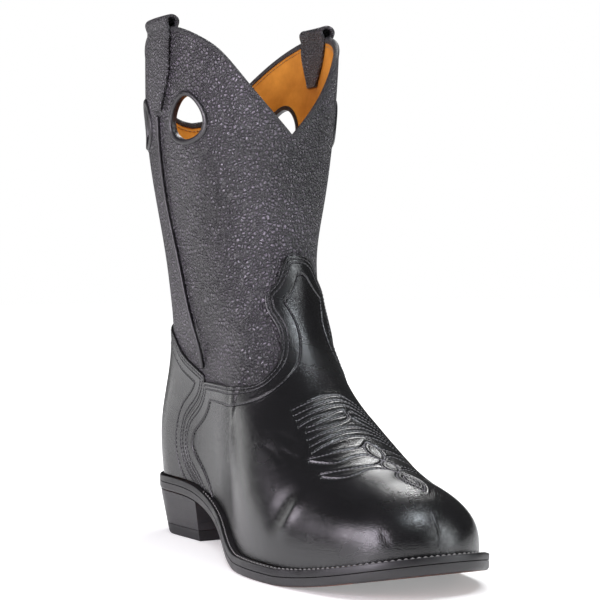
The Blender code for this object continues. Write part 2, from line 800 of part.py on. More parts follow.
def counter():
    """Counter, laid over the back of the upper behind the side seams."""
    made = overlay("counter")
    back, front, bottom, top = beyond()
    edge = spline(COUNTER_EDGE * (SOLE_LENGTH, THROAT_HEIGHT), 16)
    line = np.stack([HEEL_SEAT_CENTRE - edge[:, 0], edge[:, 1]], 1)
    seam = seam_line(GAP / 2)
    outline = [(back, line[-1, 1]), *line[::-1].tolist(), *seam.tolist()]
    outline += [(seam[-1, 0], bottom), (front, bottom), (front, top), (back, top)]
    cut(made, prism("counter_cutter", outline, -SHAFT_WIDTH, SHAFT_WIDTH))
    made.data.materials.append(material("counter_leather", (0.010, 0.010, 0.011), 0.28))


def side_seams():
    """Piped seams down the two sides of the shaft, from the pull straps to the vamp."""
    low = COUNTER_EDGE[0, 1] * THROAT_HEIGHT + SEAM_END + SEAM_RADIUS
    high = BOOT_HEIGHT - STRAP_LENGTH - SEAM_END
    z = np.linspace(low, high, SEAM_POINTS)
    line = spline(SHAFT_SEAM * (SOLE_LENGTH, BOOT_HEIGHT), 200)
    y = HEEL_SEAT_CENTRE - np.interp(z, line[:, 1], line[:, 0])
    for side, name in ((-1, "lateral"), (1, "medial")):
        points = on_side(y, z, side, SEAM_RADIUS + GAP)
        curve = bpy.data.curves.new("side_seam_" + name, "CURVE")
        curve.dimensions = "3D"
        curve.bevel_depth = SEAM_RADIUS
        curve.bevel_resolution = 2
        curve.use_fill_caps = True
        run = curve.splines.new("POLY")
        run.points.add(len(points) - 1)
        for place, point in zip(run.points, points):
            place.co = (*point, 1)
        made = bpy.data.objects.new("side_seam_" + name, curve)
        bpy.context.scene.collection.objects.link(made)
        curve.materials.append(material("seam_leather_" + name, (0.012, 0.011, 0.012), 0.4))


def strap_path():
    """Middle line of a pull strap in (depth, z) and its half width: up the outer face, over the
    collar in a loop and down the inner face. Depth is counted outwards from the upper's face."""
    narrow = (WALL + STRAP_THICK) / 2 + GAP
    wide = (STRAP_LOOP_WIDTH - STRAP_THICK) / 2
    foot = BOOT_HEIGHT - STRAP_LENGTH
    base = BOOT_HEIGHT - STRAP_THICK
    spring = BOOT_HEIGHT + STRAP_RISE / 2
    leg = np.linspace(foot, base, STRAP_LEG_POINTS)
    flare = np.linspace(base, spring, STRAP_LEG_POINTS // 2 + 1)[1:-1]
    turn = np.linspace(0, math.pi, STRAP_LOOP_POINTS)
    apart = np.concatenate([
        np.full(STRAP_LEG_POINTS, narrow),
        narrow + (wide - narrow) * smooth_step(base, spring, flare),
    ])
    rising = np.concatenate([leg, flare])
    depth = np.concatenate([apart, wide * np.cos(turn), -apart[::-1]]) - WALL / 2
    z = np.concatenate([rising, spring + STRAP_RISE / 2 * np.sin(turn), rising[::-1]])
    widen = smooth_step(foot - STRAP_TAPER_LENGTH / 3, foot + STRAP_TAPER_LENGTH, z)
    half = (STRAP_TIP_WIDTH + (STRAP_WIDTH - STRAP_TIP_WIDTH) * widen) / 2
    return depth, z, half


def pull_straps():
    """Pull straps: one at each side, sewn to the collar outside and inside."""
    across = np.linspace(-1, 1, 5)
    for side, name in ((-1, "lateral"), (1, "medial")):
        depth, z, half = strap_path()
        y = seam_at(np.minimum(z, BOOT_HEIGHT))[:, None] + half[:, None] * across
        level = np.broadcast_to(np.minimum(z, BOOT_HEIGHT - STRAP_THICK)[:, None], y.shape)
        grid = on_side(y, level, side, depth[:, None, None])
        grid[:, :, 2] += z[:, None] - level
        made = grid_object("pull_strap_" + name, grid)
        solidify(made, STRAP_THICK, 0)
        made.data.materials.append(material("strap_leather_" + name, (0.016, 0.015, 0.017), 0.45))


def hole_bindings():
    """Raised binding round each pull hole."""
    for name, side, y, z in hole_places():
        rings = []
        for grow in (0, BINDING_WIDTH / 2, BINDING_WIDTH):
            outline = egg(y, z, grow, BINDING_POINTS)
            rings.append(on_side(outline[:, 0], outline[:, 1], side, GAP + OVERLAY))
        made = grid_object("hole_binding_" + name, np.array(rings), wrap_columns=True)
        bmesh_outwards(made, side)
        solidify(made, OVERLAY, -1)
        made.data.materials.append(material("binding_leather_" + name, (0.012, 0.011, 0.012), 0.4))


def bmesh_outwards(made, side):
    """Turns an open surface so that its normals point away from the boot on that side."""
    facing = sum(polygon.normal.x * polygon.area for polygon in made.data.polygons)
    if facing * side < 0:
        made.data.flip_normals()


def build():
    """Every sub-part of the boot."""
    for old in list(bpy.data.objects):
        bpy.data.objects.remove(old, do_unlink=True)
    outsole()
    welt()
    insole()
    heel()
    upper()
    vamp()
    counter()
    side_seams()
    pull_straps()
    hole_bindings()


build()
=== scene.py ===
"""Looks of the roper boot: every visible surface of a right-foot boot in black leather, set on
a pale floor under soft studio light. Metres, +Z up, the toe along -Y, the outer side at -X.
"""

import math

import bmesh
import bpy
import numpy as np
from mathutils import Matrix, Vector


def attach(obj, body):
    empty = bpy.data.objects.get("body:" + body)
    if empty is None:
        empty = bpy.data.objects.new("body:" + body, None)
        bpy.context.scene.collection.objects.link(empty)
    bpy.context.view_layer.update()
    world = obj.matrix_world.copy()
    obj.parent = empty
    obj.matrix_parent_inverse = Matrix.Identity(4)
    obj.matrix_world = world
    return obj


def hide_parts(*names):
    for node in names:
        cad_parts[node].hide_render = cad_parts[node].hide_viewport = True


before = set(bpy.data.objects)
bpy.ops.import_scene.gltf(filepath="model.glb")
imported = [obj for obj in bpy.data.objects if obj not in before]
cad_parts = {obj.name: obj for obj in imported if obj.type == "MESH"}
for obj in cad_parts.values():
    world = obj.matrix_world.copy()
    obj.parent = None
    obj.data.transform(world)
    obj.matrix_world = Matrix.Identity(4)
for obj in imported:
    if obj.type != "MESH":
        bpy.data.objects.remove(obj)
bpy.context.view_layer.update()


# Outsole: a sheet of sole leather cut to the foot's outline, bent down from the heel seat to the
# tread and up again at the toe. Its cut edge is inked black, its underside stays red-brown.
SOLE_LENGTH = 0.300
BALL_WIDTH = 0.1115
HEEL_RISE = 0.028
TOE_SPRING = 0.0145
TREAD_CUT = 0.0004
HEEL_SEAT_CENTRE = 0.034
OUTSOLE_THICK = 0.0050
TOE_SWING = 0.003
SWING_SPAN = (0.55, 1.05)  # shares of SOLE_LENGTH between which the foot swings
HEEL_CAP = 0.112
TOE_CAP = 0.150
TOE_ROUNDNESS = 2.35
OUTLINE = np.array([  # share of length, lateral and medial half width as shares of BALL_WIDTH
    (0.00, 0.305, 0.297),
    (0.10, 0.305, 0.300),
    (0.22, 0.284, 0.294),
    (0.35, 0.306, 0.268),
    (0.48, 0.418, 0.298),
    (0.60, 0.508, 0.412),
    (0.70, 0.520, 0.474),
    (0.80, 0.478, 0.464),
    (0.90, 0.415, 0.420),
    (1.00, 0.366, 0.375),
])
UNDERSIDE = np.array([  # share of length, share of HEEL_RISE, share of TOE_SPRING
    (0.00, 1.03, 0.00),
    (0.12, 1.00, 0.00),
    (0.24, 0.90, 0.00),
    (0.35, 0.56, 0.00),
    (0.47, 0.20, 0.00),
    (0.57, 0.02, 0.00),
    (0.62, 0.00, 0.00),
    (0.71, 0.00, 0.00),
    (0.78, 0.00, 0.10),
    (0.88, 0.00, 0.43),
    (1.00, 0.00, 1.00),
])


def cubic(x, values, at):
    """Natural cubic spline through (x, values), read at the given places: the slopes at the
    knots solve the tridiagonal system, and Hermite's four weights blend between knots."""
    x = np.asarray(x, float)
    values = np.asarray(values, float)
    flat = values.ndim == 1
    values = values[:, None] if flat else values
    count = len(x)
    step = np.diff(x)
    slope = np.diff(values, axis=0) / step[:, None]
    matrix = np.diag(np.r_[2, 2 * (step[:-1] + step[1:]), 2].astype(float))
    matrix += np.diag(np.r_[1, step[:-1]], 1) + np.diag(np.r_[step[1:], 1], -1)
    right = np.empty_like(values)
    right[0] = 3 * slope[0]
    right[-1] = 3 * slope[-1]
    right[1:-1] = 3 * (step[1:, None] * slope[:-1] + step[:-1, None] * slope[1:])
    tangent = np.linalg.solve(matrix, right)
    at = np.clip(np.asarray(at, float), x[0], x[-1])
    k = np.clip(np.searchsorted(x, at, side="right") - 1, 0, count - 2)
    h = step[k]
    s = ((at - x[k]) / h)[..., None]
    h = h[..., None]
    out = (
        (1 + 2 * s) * (1 - s) ** 2 * values[k]
        + s * (1 - s) ** 2 * h * tangent[k]
        + s ** 2 * (3 - 2 * s) * values[k + 1]
        + s ** 2 * (s - 1) * h * tangent[k + 1]
    )
    return out[..., 0] if flat else out


def rise(low, high, value):
    """0 below low, 1 above high, 3t^2 - 2t^3 between."""
    t = np.clip((np.asarray(value, float) - low) / (high - low), 0, 1)
    return t * t * (3 - 2 * t)


def at_length(share):
    """Y of a share of the sole's length, counted from the back of the heel."""
    return HEEL_SEAT_CENTRE - np.asarray(share, float) * SOLE_LENGTH


def share_of(y):
    """Share of the sole's length at Y."""
    return (HEEL_SEAT_CENTRE - np.asarray(y, float)) / SOLE_LENGTH


def toe_swing(y):
    """X of the sole's centre line: a smooth step of TOE_SWING towards the big toe."""
    return TOE_SWING * rise(*SWING_SPAN, share_of(y))


def underside(y):
    """Height of the outsole's underside: heel seat, shank, flat tread and toe spring."""
    share = np.clip(share_of(y), 0, 1)
    parts = np.maximum(cubic(UNDERSIDE[:, 0], UNDERSIDE[:, 1:], share), 0)
    return np.maximum(parts[..., 0] * HEEL_RISE + parts[..., 1] * TOE_SPRING - TREAD_CUT, 0)


def sole_outline(inset, stations):
    """Rungs of the sole's outline in plan, moved inwards by inset: the half widths of OUTLINE,
    rounded by a circle at the heel and by a superellipse at the toe."""
    share = (1 - np.cos(np.linspace(0, math.pi, stations))) / 2
    halves = cubic(OUTLINE[:, 0], OUTLINE[:, 1:], share) * BALL_WIDTH
    at_heel = np.clip((HEEL_CAP - share) / HEEL_CAP, 0, 1)
    at_toe = np.clip((share - (1 - TOE_CAP)) / TOE_CAP, 0, 1)
    caps = np.sqrt(1 - at_heel ** 2) * (1 - at_toe ** TOE_ROUNDNESS) ** (1 / TOE_ROUNDNESS)
    halves = halves * caps[:, None]
    y = at_length(share)
    centre = toe_swing(y)
    lateral = np.stack([centre - halves[:, 0], y], 1)
    medial = np.stack([centre + halves[:, 1], y], 1)
    loop = np.vstack([lateral, medial[-2:0:-1]])
    tangent = np.roll(loop, -1, axis=0) - np.roll(loop, 1, axis=0)
    normal = np.stack([-tangent[:, 1], tangent[:, 0]], 1)
    moved = loop + inset * normal / np.linalg.norm(normal, axis=1)[:, None]
    back = np.vstack([moved[:1], moved[stations:][::-1], moved[stations - 1:stations]])
    return np.stack([moved[:stations], back], 1)


def round_sole(profile, stations=150):
    """Grid of a profile of (inset, height above the underside) carried round the outline."""
    rings = []
    for inset, height in profile:
        rungs = sole_outline(inset, stations)
        loop = np.vstack([rungs[:, 0], rungs[-2:0:-1, 1]])
        rings.append(np.column_stack([loop, underside(loop[:, 1]) + height]))
    return np.array(rings)


def across_sole(inset, height, stations=150, columns=15):
    """Grid of straight rungs across the outline at an inset, at a height above the underside."""
    rungs = sole_outline(inset, stations)
    t = np.linspace(0, 1, columns)[None, :, None]
    plan = rungs[:, :1] * (1 - t) + rungs[:, 1:] * t
    return np.concatenate([plan, underside(plan[..., 1:]) + height], -1)


def grid_faces(rows, columns, wrap_rows=False, wrap_columns=False, start=0):
    """Quads of a grid of rows by columns, with its edges joined where wrapped."""
    i = np.arange(rows if wrap_rows else rows - 1)[:, None]
    j = np.arange(columns if wrap_columns else columns - 1)[None, :]
    after = (i + 1) % rows
    beside = (j + 1) % columns
    quads = np.stack(np.broadcast_arrays(
        i * columns + j, i * columns + beside, after * columns + beside, after * columns + j
    ), -1)
    return quads.reshape(-1, 4) + start


CREASE = 40


def add_mesh(name, points, faces, sharp=CREASE):
    """Smooth-shaded object from points and quads or triangles, with creases over sharp degrees."""
    points = np.asarray(points, float).reshape(-1, 3)
    faces = np.asarray(faces)
    mesh = bpy.data.meshes.new(name)
    mesh.vertices.add(len(points))
    mesh.vertices.foreach_set("co", points.ravel())
    mesh.loops.add(faces.size)
    mesh.loops.foreach_set("vertex_index", faces.ravel())
    mesh.polygons.add(len(faces))
    mesh.polygons.foreach_set("loop_start", np.arange(len(faces)) * faces.shape[1])
    mesh.update(calc_edges=True)
    mesh.validate()
    mesh.shade_smooth()
    if sharp:
        mesh.set_sharp_from_angle(angle=math.radians(sharp))
    made = bpy.data.objects.new(name, mesh)
    bpy.context.scene.collection.objects.link(made)
    return made


def weld(made):
    """Merges the corners of an object that lie in one place and turns its faces outwards."""
    mesh = bmesh.new()
    mesh.from_mesh(made.data)
    bmesh.ops.remove_doubles(mesh, verts=mesh.verts, dist=2e-6)
    bmesh.ops.dissolve_degenerate(mesh, edges=mesh.edges, dist=1e-7)
    bmesh.ops.recalc_face_normals(mesh, faces=mesh.faces)
    mesh.to_mesh(made.data)
    mesh.free()
    made.data.shade_smooth()
    made.data.set_sharp_from_angle(angle=math.radians(CREASE))
    return made


def layered(name, grids):
    """One object from several grids, each (points, wrap_rows, wrap_columns), welded together."""
    points = []
    faces = []
    start = 0
    for grid, wrap_rows, wrap_columns in grids:
        rows, columns = grid.shape[:2]
        faces.append(grid_faces(rows, columns, wrap_rows, wrap_columns, start))
        points.append(grid.reshape(-1, 3))
        start += rows * columns
    return weld(add_mesh(name, np.vstack(points), np.vstack(faces)))


def new_group(name, inputs, outputs):
    """Empty shader group with float or vector inputs and float or colour outputs."""
    made = bpy.data.node_groups.new(name, "ShaderNodeTree")
    for label, kind, value in inputs:
        socket = made.interface.new_socket(label, in_out="INPUT", socket_type="NodeSocket" + kind)
        if value is not None:
            socket.default_value = value
    for label, kind in outputs:
        made.interface.new_socket(label, in_out="OUTPUT", socket_type="NodeSocket" + kind)
    return made, made.nodes.new("NodeGroupInput"), made.nodes.new("NodeGroupOutput")


def node(tree, kind, settings=None, **inputs):
    """Adds a shader node: settings are its properties, inputs are values or sockets to link, by
    name or, where a name won't do, as an underscore and a number."""
    made = tree.nodes.new("ShaderNode" + kind)
    for key, value in (settings or {}).items():
        setattr(made, key, value)
    for key, value in inputs.items():
        label = int(key[1:]) if key[1:].isdigit() else key.replace("_", " ")
        slot = made.inputs[label]
        if isinstance(value, bpy.types.NodeSocket):
            tree.links.new(value, slot)
        else:
            slot.default_value = value
    return made


def leather(name, colour, roughness, coat=0.0, coat_roughness=0.3, sheen=0.0, specular=0.5):
    """Principled material of a leather or another plain finish, with its tree and shader."""
    made = bpy.data.materials.new(name)
    made.use_nodes = True
    shader = made.node_tree.nodes["Principled BSDF"]
    shader.inputs["Base Color"].default_value = (*colour, 1)
    shader.inputs["Roughness"].default_value = roughness
    shader.inputs["Coat Weight"].default_value = coat
    shader.inputs["Coat Roughness"].default_value = coat_roughness
    shader.inputs["Sheen Weight"].default_value = sheen
    shader.inputs["Specular IOR Level"].default_value = specular
    return made, made.node_tree, shader


def speckle_group():
    """Height and tone of fine random speckle: two noises, one coarse for tone, one fine for
    height."""
    tree, given, out = new_group(
        "ink speckle",
        [("Vector", "Vector", None), ("Scale", "Float", 1200.0)],
        [("Tone", "Float"), ("Height", "Float")],
    )
    vector = given.outputs["Vector"]
    fine = node(tree, "TexNoise", Vector=vector, Scale=given.outputs["Scale"], Detail=3.0)
    coarse = node(tree, "TexNoise", Vector=vector, Scale=90.0, Detail=4.0)
    tree.links.new(coarse.outputs["Fac"], out.inputs["Tone"])
    tree.links.new(fine.outputs["Fac"], out.inputs["Height"])
    return tree


ink_speckle = speckle_group()


def inked_edge(name, colour, roughness):
    """Black edge ink on leather: speckle in its tone, its gloss and its height."""
    made, tree, shader = leather(name, colour, roughness, specular=0.7)
    place = node(tree, "TexCoord").outputs["Object"]
    speckle = node(tree, "Group", {"node_tree": ink_speckle}, Vector=place, Scale=1100.0)
    tone = node(tree, "MapRange", _0=speckle.outputs["Tone"], _1=0.3, _2=0.7, _3=0.7, _4=1.6)
    shade = node(tree, "Mix", {"data_type": "RGBA", "blend_type": "MULTIPLY"}, Factor=1.0)
    shade.inputs[6].default_value = (*colour, 1)
    tree.links.new(tone.outputs[0], shade.inputs[7])
    gloss = node(
        tree, "MapRange", _0=speckle.outputs["Tone"], _1=0.3, _2=0.7,
        _3=roughness - 0.08, _4=roughness + 0.1,
    )
    bump = node(tree, "Bump", Height=speckle.outputs["Height"], Strength=0.35, Distance=0.0002)
    tree.links.new(shade.outputs[2], shader.inputs["Base Color"])
    tree.links.new(gloss.outputs[0], shader.inputs["Roughness"])
    tree.links.new(bump.outputs["Normal"], shader.inputs["Normal"])
    return made


def tread_leather():
    """Red-brown sole leather: cloudy tone and fine pores."""
    made, tree, shader = leather("outsole underside", (0.17, 0.055, 0.028), 0.42, coat=0.15)
    place = node(tree, "TexCoord").outputs["Object"]
    cloud = node(tree, "TexNoise", Vector=place, Scale=28.0, Detail=5.0)
    ramp = node(tree, "ValToRGB", Fac=cloud.outputs["Fac"])
    ramp.color_ramp.elements[0].position = 0.3
    ramp.color_ramp.elements[0].color = (0.105, 0.032, 0.017, 1)
    ramp.color_ramp.elements[1].position = 0.72
    ramp.color_ramp.elements[1].color = (0.235, 0.082, 0.042, 1)
    pores = node(tree, "TexNoise", Vector=place, Scale=900.0, Detail=2.0)
    bump = node(tree, "Bump", Height=pores.outputs["Fac"], Strength=0.3, Distance=0.0002)
    tree.links.new(ramp.outputs["Color"], shader.inputs["Base Color"])
    tree.links.new(bump.outputs["Normal"], shader.inputs["Normal"])
    return made


OUTSOLE_PROFILE = [  # inset, height: up the cut edge from the underside to the top
    (0.0030, 0.0000),
    (0.0016, 0.0000),
    (0.0007, 0.0004),
    (0.0002, 0.0012),
    (0.0000, 0.0022),
    (0.0000, 0.0040),
    (0.0000, 0.0049),
    (0.0006, 0.0050),
]
FACES_DOWN = -0.86
sole_leather = layered("sole_leather", [
    (round_sole(OUTSOLE_PROFILE), False, True),
    (across_sole(OUTSOLE_PROFILE[0][0], 0.0), False, False),
    (across_sole(OUTSOLE_PROFILE[-1][0], OUTSOLE_THICK), False, False),
])
sole_leather.data.materials.append(inked_edge("outsole edge", (0.012, 0.011, 0.012), 0.36))
sole_leather.data.materials.append(tread_leather())
down = np.empty(len(sole_leather.data.polygons) * 3)
sole_leather.data.polygons.foreach_get("normal", down)
under = (down.reshape(-1, 3)[:, 2] < FACES_DOWN).astype(np.int32)
sole_leather.data.polygons.foreach_set("material_index", under)
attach(sole_leather, "root")
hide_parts("outsole")


# Welt: a leather strip sewn round the upper and stitched down to the outsole, heel included. Its
# ledge is inked black, grooved for the lock stitches that show round the forefoot.
GAP = 0.0003
SEAT_GAP = 0.0005
WELT_THICK = 0.0040
WELT_LEDGE = 0.0055
HEEL_LEDGE = 0.0025
OVERLAY = 0.0012
WALL = 0.0026
WELT_REACH = WELT_LEDGE + OVERLAY + GAP + WALL + GAP
WELT_LOW = OUTSOLE_THICK + GAP
WELT_PROFILE = [  # inset, height above the outsole's top: round the strip's section
    (0.0003, 0.0000),
    (0.0000, 0.0001),
    (0.0000, 0.0030),
    (0.0003, 0.0036),
    (0.0009, 0.0038),
    (0.0013, 0.0037),
    (0.0016, 0.0035),
    (0.0021, 0.0034),
    (0.0027, 0.0035),
    (0.0034, 0.0037),
    (0.0060, 0.0039),
    (WELT_REACH, 0.0038),
    (WELT_REACH, 0.0000),
]
WELT_GROOVE = 0.0021
WELT_THREAD_HEIGHT = 0.0039
WELT_SEWN_FROM = 0.27
WELT_STITCH = (0.0034, 0.0025, 0.00042)  # pitch, length, radius
BEAD_END = 0.12  # share of the half sine left out at both ends
BEAD_SUNK = 0.65  # how far the middle of a bead's ends lies in the leather, in radii
welt_strip = layered("welt_strip", [
    (round_sole([(inset, WELT_LOW + height) for inset, height in WELT_PROFILE]), True, True),
])
welt_strip.data.materials.append(inked_edge("welt ink", (0.009, 0.0085, 0.0095), 0.40))
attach(welt_strip, "root")
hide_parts("welt")


def resample(path, step):
    """Points at even steps of arc length along a path of places and normals."""
    length = np.r_[0, np.cumsum(np.linalg.norm(np.diff(path[:, :3], axis=0), axis=1))]
    count = max(int(round(length[-1] / step)), 2)
    at = (np.arange(count) + 0.5) * length[-1] / count
    return np.stack([np.interp(at, length, path[:, k]) for k in range(path.shape[1])], 1)


def stitch_row(paths, pitch, long, radius, rings=6, sides=6):
    """Points and quads of rows of stitches. Each stitch is a bead of thread along its path: a
    tube whose radius is a half sine of the place along it and which dips in at both ends. A
    path has six columns, place and surface normal."""
    beads = []
    for path in paths:
        at = resample(path, pitch)
        tangent = np.gradient(at[:, :3], axis=0)
        tangent /= np.linalg.norm(tangent, axis=1)[:, None]
        up = at[:, 3:] / np.linalg.norm(at[:, 3:], axis=1)[:, None]
        beads.append(np.stack([at[:, :3], tangent, up], 1))
    beads = np.concatenate(beads)
    place, tangent, up = beads[:, 0], beads[:, 1], beads[:, 2]
    aside = np.cross(tangent, up)
    t = np.linspace(0, 1, rings)
    swell = np.sin(math.pi * (BEAD_END + (1 - 2 * BEAD_END) * t)) * radius
    arch = (np.sin(math.pi * t) - BEAD_SUNK) * radius
    turn = 2 * math.pi * np.arange(sides) / sides
    ring = (
        place[:, None, None]
        + tangent[:, None, None] * ((t - 0.5) * long)[None, :, None, None]
        + up[:, None, None] * (arch[:, None] + swell[:, None] * np.sin(turn))[None, :, :, None]
        + aside[:, None, None] * (swell[:, None] * np.cos(turn))[None, :, :, None]
    )
    quads = grid_faces(rings, sides, False, True)
    first = np.arange(len(beads)) * rings * sides
    return ring.reshape(-1, 3), (quads[None] + first[:, None, None]).reshape(-1, 4)


def thread_material(name, colour, roughness=0.5):
    """Waxed sewing thread: the fine roughness of its twist and a soft shine."""
    made, tree, shader = leather(name, colour, roughness, sheen=0.2)
    place = node(tree, "TexCoord").outputs["Object"]
    twist = node(tree, "TexNoise", Vector=place, Scale=2600.0, Detail=1.0)
    bump = node(tree, "Bump", Height=twist.outputs["Fac"], Strength=0.5, Distance=0.0001)
    tree.links.new(bump.outputs["Normal"], shader.inputs["Normal"])
    return made


def add_stitches(name, paths, stitch, material):
    """One object of thread beads along paths, riding with the boot; stitch is their pitch,
    length and radius."""
    points, faces = stitch_row(paths, *stitch)
    made = add_mesh(name, points, faces, sharp=0)
    made.data.materials.append(material)
    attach(made, "root")
    return made


rungs = sole_outline(WELT_GROOVE, 400)
groove = np.vstack([rungs[:, 0], rungs[-2:0:-1, 1]])
groove = groove[share_of(groove[:, 1]) > WELT_SEWN_FROM]
start = int(np.argmax(np.linalg.norm(np.diff(groove, axis=0), axis=1))) + 1
groove = np.roll(groove, -start, axis=0)
lift = underside(groove[:, 1]) + WELT_LOW + WELT_THREAD_HEIGHT
flat_up = np.tile([0.0, 0.0, 1.0], (len(groove), 1))
welt_thread = thread_material("welt thread", (0.20, 0.195, 0.19), 0.45)
welt_path = np.column_stack([groove, lift, flat_up])
add_stitches("welt_stitches", [welt_path], WELT_STITCH, welt_thread)


# Heel: leather lifts stacked, trimmed to a taper and inked black, with a moulded rubber top lift
# nailed under them. The breast is cut square across.
HEEL_BREAST = 0.071
HEEL_EDGE = 0.0006
HEEL_BACK_SLOPE = 0.0075
HEEL_SIDE_TAPER = 0.0040
TOP_LIFT_THICK = 0.0065


def heel_loop(z, inset=0.0):
    """Closed plan of the heel block at a height: the sole's back end, tapered by the share of
    the heel's height below, with a straight breast."""
    level = np.clip(1 - z / HEEL_RISE, 0, 1)
    edge = sole_outline(HEEL_EDGE + inset, 400)
    back = edge[0, 0, 1]
    breast = at_length(HEEL_BREAST / SOLE_LENGTH) + inset
    y = back + (breast - back) * np.linspace(0, 1, 60) ** 2
    across = 1 - HEEL_SIDE_TAPER * level / (BALL_WIDTH * OUTLINE[1, 1])
    lateral = np.interp(-y, -edge[:, 0, 1], edge[:, 0, 0]) * across
    medial = np.interp(-y, -edge[:, 1, 1], edge[:, 1, 0]) * across
    y = breast + (y - breast) * (1 - HEEL_BACK_SLOPE * level / (back - breast))
    front = np.linspace(lateral[-1], medial[-1], 24)[1:-1]
    return np.vstack([
        np.column_stack([lateral, y]),
        np.column_stack([front, np.full(len(front), breast)]),
        np.column_stack([medial, y])[::-1][:-1],
    ])


def heel_layer(name, levels, under_sole=False):
    """Block from (height, inset) levels of the heel's plan, with closed ends; with under_sole
    the last level follows the outsole's underside."""
    rings = []
    for z, inset in levels:
        plan = heel_loop(z, inset)
        rings.append(np.column_stack([plan, np.full(len(plan), z)]))
    if under_sole:
        rings[-1][:, 2] = underside(rings[-1][:, 1]) - GAP
    grid = np.array(rings)
    rows, columns = grid.shape[:2]
    points = grid.reshape(-1, 3)
    low = points[:columns].mean(0)
    high = points[-columns:].mean(0)
    quads = grid_faces(rows, columns, False, True)
    ring = np.arange(columns)
    after = np.roll(ring, -1)
    end = (rows - 1) * columns
    fan_low = np.stack([after, ring, np.full(columns, rows * columns)], 1)
    fan_high = np.stack([ring + end, after + end, np.full(columns, rows * columns + 1)], 1)
    triangles = np.vstack([quads[:, [0, 1, 2]], quads[:, [0, 2, 3]], fan_low, fan_high])
    return weld(add_mesh(name, np.vstack([points, low, high]), triangles))


def heel_ink():
    """Inked leather stack: the joints of its lifts are faint grooves 6 mm apart."""
    made = inked_edge("heel ink", (0.017, 0.016, 0.018), 0.4)
    tree = made.node_tree
    shader = tree.nodes["Principled BSDF"]
    place = node(tree, "TexCoord").outputs["Object"]
    lifts = node(
        tree, "TexWave", {"bands_direction": "Z"}, Vector=place, Scale=52.0, Distortion=0.0
    )
    joint = node(tree, "MapRange", _0=lifts.outputs["Fac"], _1=0.0, _2=0.06, _3=0.0, _4=1.0)
    old = shader.inputs["Normal"].links[0].from_socket
    bump = node(tree, "Bump", Height=joint.outputs[0], Normal=old, Strength=0.25, Distance=0.0003)
    tree.links.new(bump.outputs["Normal"], shader.inputs["Normal"])
    return made


def lift_rubber():
    """Matt black rubber with a fine moulded grain."""
    made, tree, shader = leather("top lift rubber", (0.018, 0.018, 0.019), 0.62)
    place = node(tree, "TexCoord").outputs["Object"]
    grain = node(tree, "TexNoise", Vector=place, Scale=1500.0, Detail=2.0)
    bump = node(tree, "Bump", Height=grain.outputs["Fac"], Strength=0.4, Distance=0.0002)
    tree.links.new(bump.outputs["Normal"], shader.inputs["Normal"])
    return made


heel_block = heel_layer("heel_block", [
    (TOP_LIFT_THICK + GAP, 0.0003),
    (TOP_LIFT_THICK + GAP + 0.0004, 0.0),
    (0.012, 0.0),
    (0.018, 0.0),
    (0.024, 0.0),
    (HEEL_RISE, 0.0003),
], under_sole=True)
heel_block.data.materials.append(heel_ink())
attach(heel_block, "root")
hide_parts("heel_stack")
heel_lift = heel_layer("heel_lift", [
    (0.0, 0.0009),
    (0.0005, 0.0002),
    (0.0012, 0.0),
    (0.0058, 0.0),
    (TOP_LIFT_THICK, 0.0003),
])
heel_lift.data.materials.append(lift_rubber())
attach(heel_lift, "root")
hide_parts("heel_top_lift")


# Insole: a board of tan, undyed leather that the foot stands on. It lies on the outsole inside
# the welt, and the upper is drawn in round its edge.
INSOLE_PLAY = 0.0012
INSOLE_THICK = WELT_THICK + 0.0022
INSOLE_EDGE = [  # inset, height above the outsole's top: up the board's edge
    (0.0006, 0.0),
    (0.0, 0.0006),
    (0.0, INSOLE_THICK - 0.0010),
    (0.0004, INSOLE_THICK - 0.0002),
    (0.0012, INSOLE_THICK),
]


def tan_leather(name, dark, light, roughness):
    """Undyed vegetable-tanned leather: cloudy tan and fine pores."""
    made, tree, shader = leather(name, light, roughness, specular=0.2)
    place = node(tree, "TexCoord").outputs["Object"]
    cloud = node(tree, "TexNoise", Vector=place, Scale=38.0, Detail=6.0, Roughness=0.62)
    ramp = node(tree, "ValToRGB", Fac=cloud.outputs["Fac"])
    ramp.color_ramp.elements[0].position = 0.28
    ramp.color_ramp.elements[0].color = (*dark, 1)
    ramp.color_ramp.elements[1].position = 0.68
    ramp.color_ramp.elements[1].color = (*light, 1)
    fine = node(tree, "TexNoise", Vector=place, Scale=850.0, Detail=3.0)
    bump = node(tree, "Bump", Height=fine.outputs["Fac"], Strength=0.35, Distance=0.0003)
    tree.links.new(ramp.outputs["Color"], shader.inputs["Base Color"])
    tree.links.new(bump.outputs["Normal"], shader.inputs["Normal"])
    return made


board = [
    (WELT_REACH + INSOLE_PLAY + inset, WELT_LOW + height) for inset, height in INSOLE_EDGE
]
inner_sole = layered("inner_sole", [
    (round_sole(board), False, True),
    (across_sole(*board[0]), False, False),
    (across_sole(*board[-1]), False, False),
])
inner_sole.data.materials.append(
    tan_leather("insole board", (0.33, 0.185, 0.07), (0.56, 0.35, 0.15), 0.6)
)
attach(inner_sole, "root")
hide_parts("insole")


